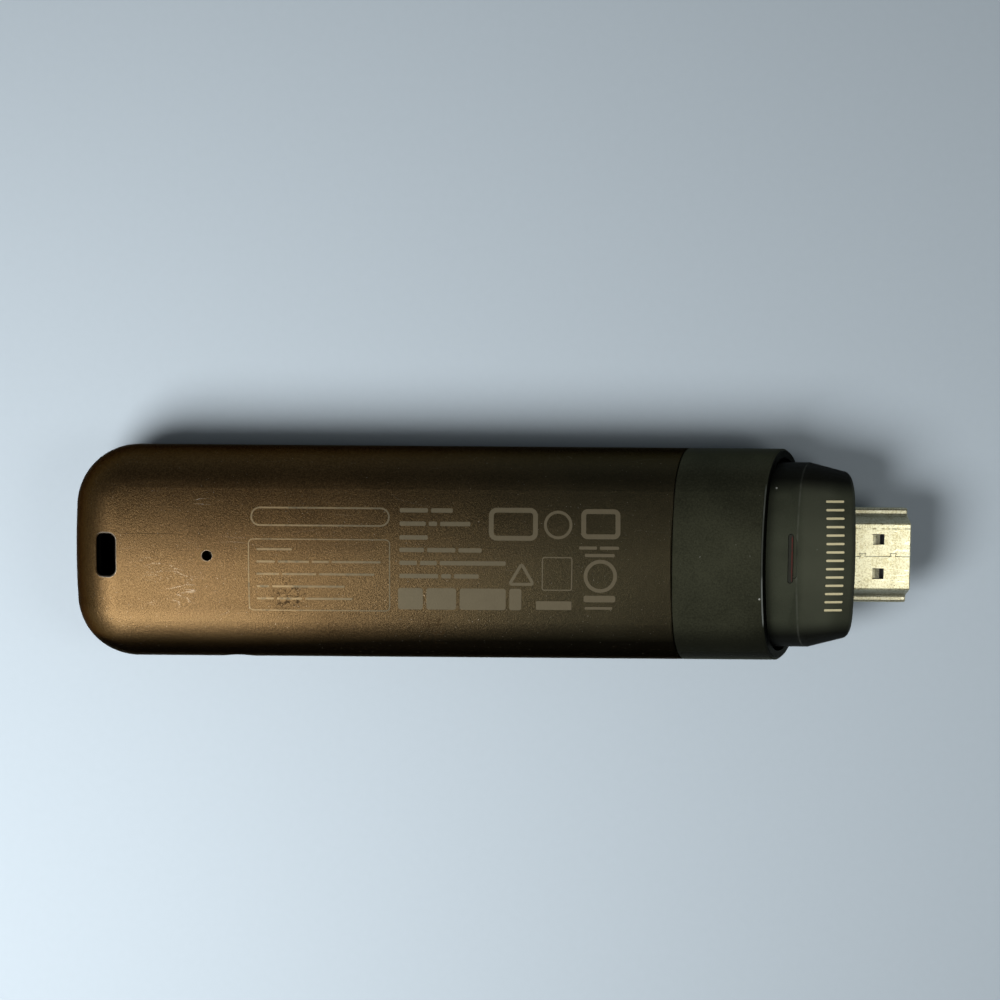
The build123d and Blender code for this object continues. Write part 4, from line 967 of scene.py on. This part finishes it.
class STICK_OT_buttons(bpy.types.Operator):
    """Finish the recovery plunger, the status light and its light pipe."""

    bl_idname = "stick.buttons"
    bl_label = "Button and light"

    def execute(self, context):
        plain_finish(
            "white_plastic", ("recovery_plunger", "status_led"),
            tones=((0.62, 0.60, 0.55), (0.76, 0.74, 0.69)), roughness=(0.32, 0.52), relief=0.005,
            size=0.12, detail=2.0,
        )
        plain_finish(
            "clear_plastic", ("light_pipe",),
            tones=((0.80, 0.82, 0.82), (0.92, 0.93, 0.93)), roughness=(0.16, 0.30), relief=0.004,
            size=0.3, Transmission_Weight=0.85, IOR=1.49,
        )
        return {"FINISHED"}


class STICK_OT_print(bpy.types.Operator):
    """Print the label's frame, the rows of plain bars and the plain outlines on the shell."""

    bl_idname = "stick.print"
    bl_label = "Print on the shell"

    def ink(self, looks):
        """Pale ink, rubbed thin towards the closed end."""
        f = Finish("shell_print", Specular_IOR_Level=0.1, Specular_Tint=(1.0, 0.8, 0.5))
        fade = f.noise(1.3, 3.0, contrast=0.65)
        grain = f.noise(0.26, 2.0, contrast=0.6)
        shade = f.mix((fade + grain) * 0.5, dimmed(looks.ink, 0.72), looks.ink)
        rubbed = f.near(RUBBED_PRINT, 6.0) * 0.5 + f.x.step(-10.0, -33.0) * 0.6
        rubbed = (rubbed * fade.step(0.25, 0.6)).smaller(0.85)
        f.set(
            Base_Color=f.mix(rubbed, shade, looks.worn_ink),
            Metallic=0.35,
            Roughness=f.swing(0.55, (grain, 0.2)),
            Normal=f.bump(grain, 0.014),
        )
        return f

    def execute(self, context):
        looks = context.scene.stick_print
        fine = looks.fine_line / MM
        bold = looks.bold_line / MM
        ink = self.ink(looks)

        def label_frame():
            flat_outline(*LABEL_FRAME, fine)
            flat_outline(*NAME_FRAME, fine * 1.5)

        def label_lines():
            bar_rows(LABEL_BAR, LABEL_ROWS)

        def text_bars():
            for height, rows in TEXT_ROWS.items():
                bar_rows(height, rows)

        def plain_blocks():
            for block in BLOCKS:
                flat_bar(*block)

        def plain_outlines():
            for outline in BOLD_FRAMES:
                flat_outline(*outline, bold)
            flat_outline(*FINE_FRAME, fine)
            flat_ring(*UPPER_RING)
            flat_ring(*LOWER_RING)
            flat_ring(*TRIANGLE, corners=3, corner=TRIANGLE_CORNER)

        for draw in (label_frame, label_lines, text_bars, plain_blocks, plain_outlines):
            piece = new_piece(draw.__name__)
            draw()
            lay_on(piece, node("body_shell"), looks.thickness)
            ink.dress(piece)
        return {"FINISHED"}


class STICK_OT_ticks(bpy.types.Operator):
    """Print a row of plain gold ticks on the head, beside the plug."""

    bl_idname = "stick.ticks"
    bl_label = "Ticks on the head"

    def execute(self, context):
        looks = context.scene.stick_print
        ticks = new_piece("head_ticks")
        start, row = TICK_ROW
        pitch = row / looks.tick_count
        for index in range(looks.tick_count):
            flat_bar(TICK_X, start + pitch * (index + 0.5), *TICK_SIZE)
        lay_on(ticks, node("connector_head"), looks.thickness)
        plain_finish(
            "gold_print", (ticks,),
            tones=(dimmed(looks.gold, 0.72), looks.gold), roughness=(0.4, 0.6), relief=0.01,
            size=0.22, contrast=0.65, Metallic=0.3,
        )
        return {"FINISHED"}


class STICK_OT_studio(bpy.types.Operator):
    """Set up the pale floor, the soft lamps, the world and the camera."""

    bl_idname = "stick.studio"
    bl_label = "Studio"

    def floor(self, looks):
        """A plain floor; far away, where the lamps don't reach, it is as pale as the backdrop."""
        clear_selection()
        bpy.ops.mesh.primitive_plane_add(size=FLOOR_SIZE * MM, location=(0, 0, 0))
        floor = bpy.context.object
        floor.name = "studio_floor"
        f = Finish("studio_floor", Roughness=0.9, Specular_IOR_Level=0.1)
        away = ((f.x * f.x + f.y * f.y) ** 0.5).step(*FLOOR_FADE) * f.seen()
        near_by = f.mix(f.noise(1.2, 2.0) * 0.06, looks.floor, dimmed(looks.floor, 0.5))
        f.set(
            Base_Color=f.mix(away, near_by, (0, 0, 0)),
            Emission_Color=f.mix(away, (0, 0, 0), looks.horizon),
            Emission_Strength=1.0,
        )
        f.dress(floor)

    def backdrop(self, looks):
        """A world that is pale at the horizon and dim above."""
        world = bpy.data.worlds.new("studio")
        bpy.context.scene.world = world
        sky = Nodes(world)
        direction = sky.node("ShaderNodeTexCoord", output="Generated")
        height = list(sky.split(direction))[2]
        tint = sky.node("ShaderNodeValToRGB", sockets={0: height})
        stops = tint.socket.node.color_ramp.elements
        for stop, position, shade in zip(stops, SKY_STOPS, (looks.horizon, looks.zenith)):
            stop.position = position
            stop.color = (*shade, 1)
        light = sky.node("ShaderNodeBackground", sockets={0: tint})
        sky.node("ShaderNodeOutputWorld", sockets={0: light})

    def lamp(self, name, watts, place, target, size, tint=(1, 1, 1)):
        """A round soft lamp that points at its target."""
        data = bpy.data.lights.new(name, "AREA")
        data.shape = "DISK"
        data.size = size * MM
        data.energy = watts
        data.color = tint
        piece = bpy.data.objects.new(name, data)
        piece.location = Vector(place) * MM
        aim = Vector(target) - Vector(place)
        piece.rotation_euler = aim.to_track_quat("-Z", "Y").to_euler()
        bpy.context.scene.collection.objects.link(piece)

    def camera(self, looks):
        """A camera above the stick that leans towards its label side."""
        data = bpy.data.cameras.new("camera")
        data.lens = looks.lens
        data.sensor_width = SENSOR_WIDTH
        data.clip_start = NEAR_CLIP * MM
        data.clip_end = FAR_CLIP * MM
        camera = bpy.data.objects.new("camera", data)
        bpy.context.scene.collection.objects.link(camera)
        place = Vector((*CAMERA_PLACE, looks.height / MM))
        tilt = math.atan2(place.y - CAMERA_AIM_Y, place.z - MID)
        roll = math.radians(looks.roll)
        camera.location = place * MM
        camera.rotation_mode = "QUATERNION"
        camera.rotation_quaternion = Quaternion((1, 0, 0), -tilt) @ Quaternion((0, 0, 1), roll)
        bpy.context.scene.camera = camera

    def execute(self, context):
        looks = context.scene.stick_studio
        self.floor(looks)
        self.backdrop(looks)
        self.lamp("key_lamp", looks.key_power, **KEY_LAMP)
        self.lamp("fill_lamp", looks.fill_power, **FILL_LAMP)
        self.camera(looks)
        context.scene.view_settings.view_transform = "Standard"
        return {"FINISHED"}


class STICK_PT_sidebar(bpy.types.Panel):
    """The stick's pieces and looks in the sidebar."""

    bl_idname = "STICK_PT_sidebar"
    bl_label = "Stick computer"
    bl_space_type = "VIEW_3D"
    bl_region_type = "UI"
    bl_category = "Stick"

    def draw(self, context):
        for operator in OPERATORS:
            self.layout.operator(operator.bl_idname)
        for name in LOOKS:
            looks = getattr(context.scene, name)
            box = self.layout.box()
            box.label(text=looks.bl_rna.name)
            for key in looks.__annotations__:
                box.prop(looks, key)


LOOKS = {
    "stick_shell": ShellLooks,
    "stick_print": PrintLooks,
    "stick_head": HeadLooks,
    "stick_plug": PlugLooks,
    "stick_inside": InsideLooks,
    "stick_studio": StudioLooks,
}
OPERATORS = (
    STICK_OT_shell,
    STICK_OT_collar,
    STICK_OT_head,
    STICK_OT_plug,
    STICK_OT_board,
    STICK_OT_buttons,
    STICK_OT_print,
    STICK_OT_ticks,
    STICK_OT_studio,
)
CLASSES = (*LOOKS.values(), *OPERATORS, STICK_PT_sidebar)


def register():
    for entry in CLASSES:
        bpy.utils.register_class(entry)
    for name, looks in LOOKS.items():
        setattr(bpy.types.Scene, name, PointerProperty(type=looks))


def unregister():
    for name in LOOKS:
        delattr(bpy.types.Scene, name)
    for entry in reversed(CLASSES):
        bpy.utils.unregister_class(entry)


def main():
    """Registers the add-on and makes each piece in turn."""
    register()
    bpy.ops.stick.shell()
    bpy.ops.stick.collar()
    bpy.ops.stick.head()
    bpy.ops.stick.plug()
    bpy.ops.stick.board()
    bpy.ops.stick.buttons()
    bpy.ops.stick.print()
    bpy.ops.stick.ticks()
    bpy.ops.stick.studio()
    bpy.context.view_layer.update()


if __name__ == "__main__":
    main()
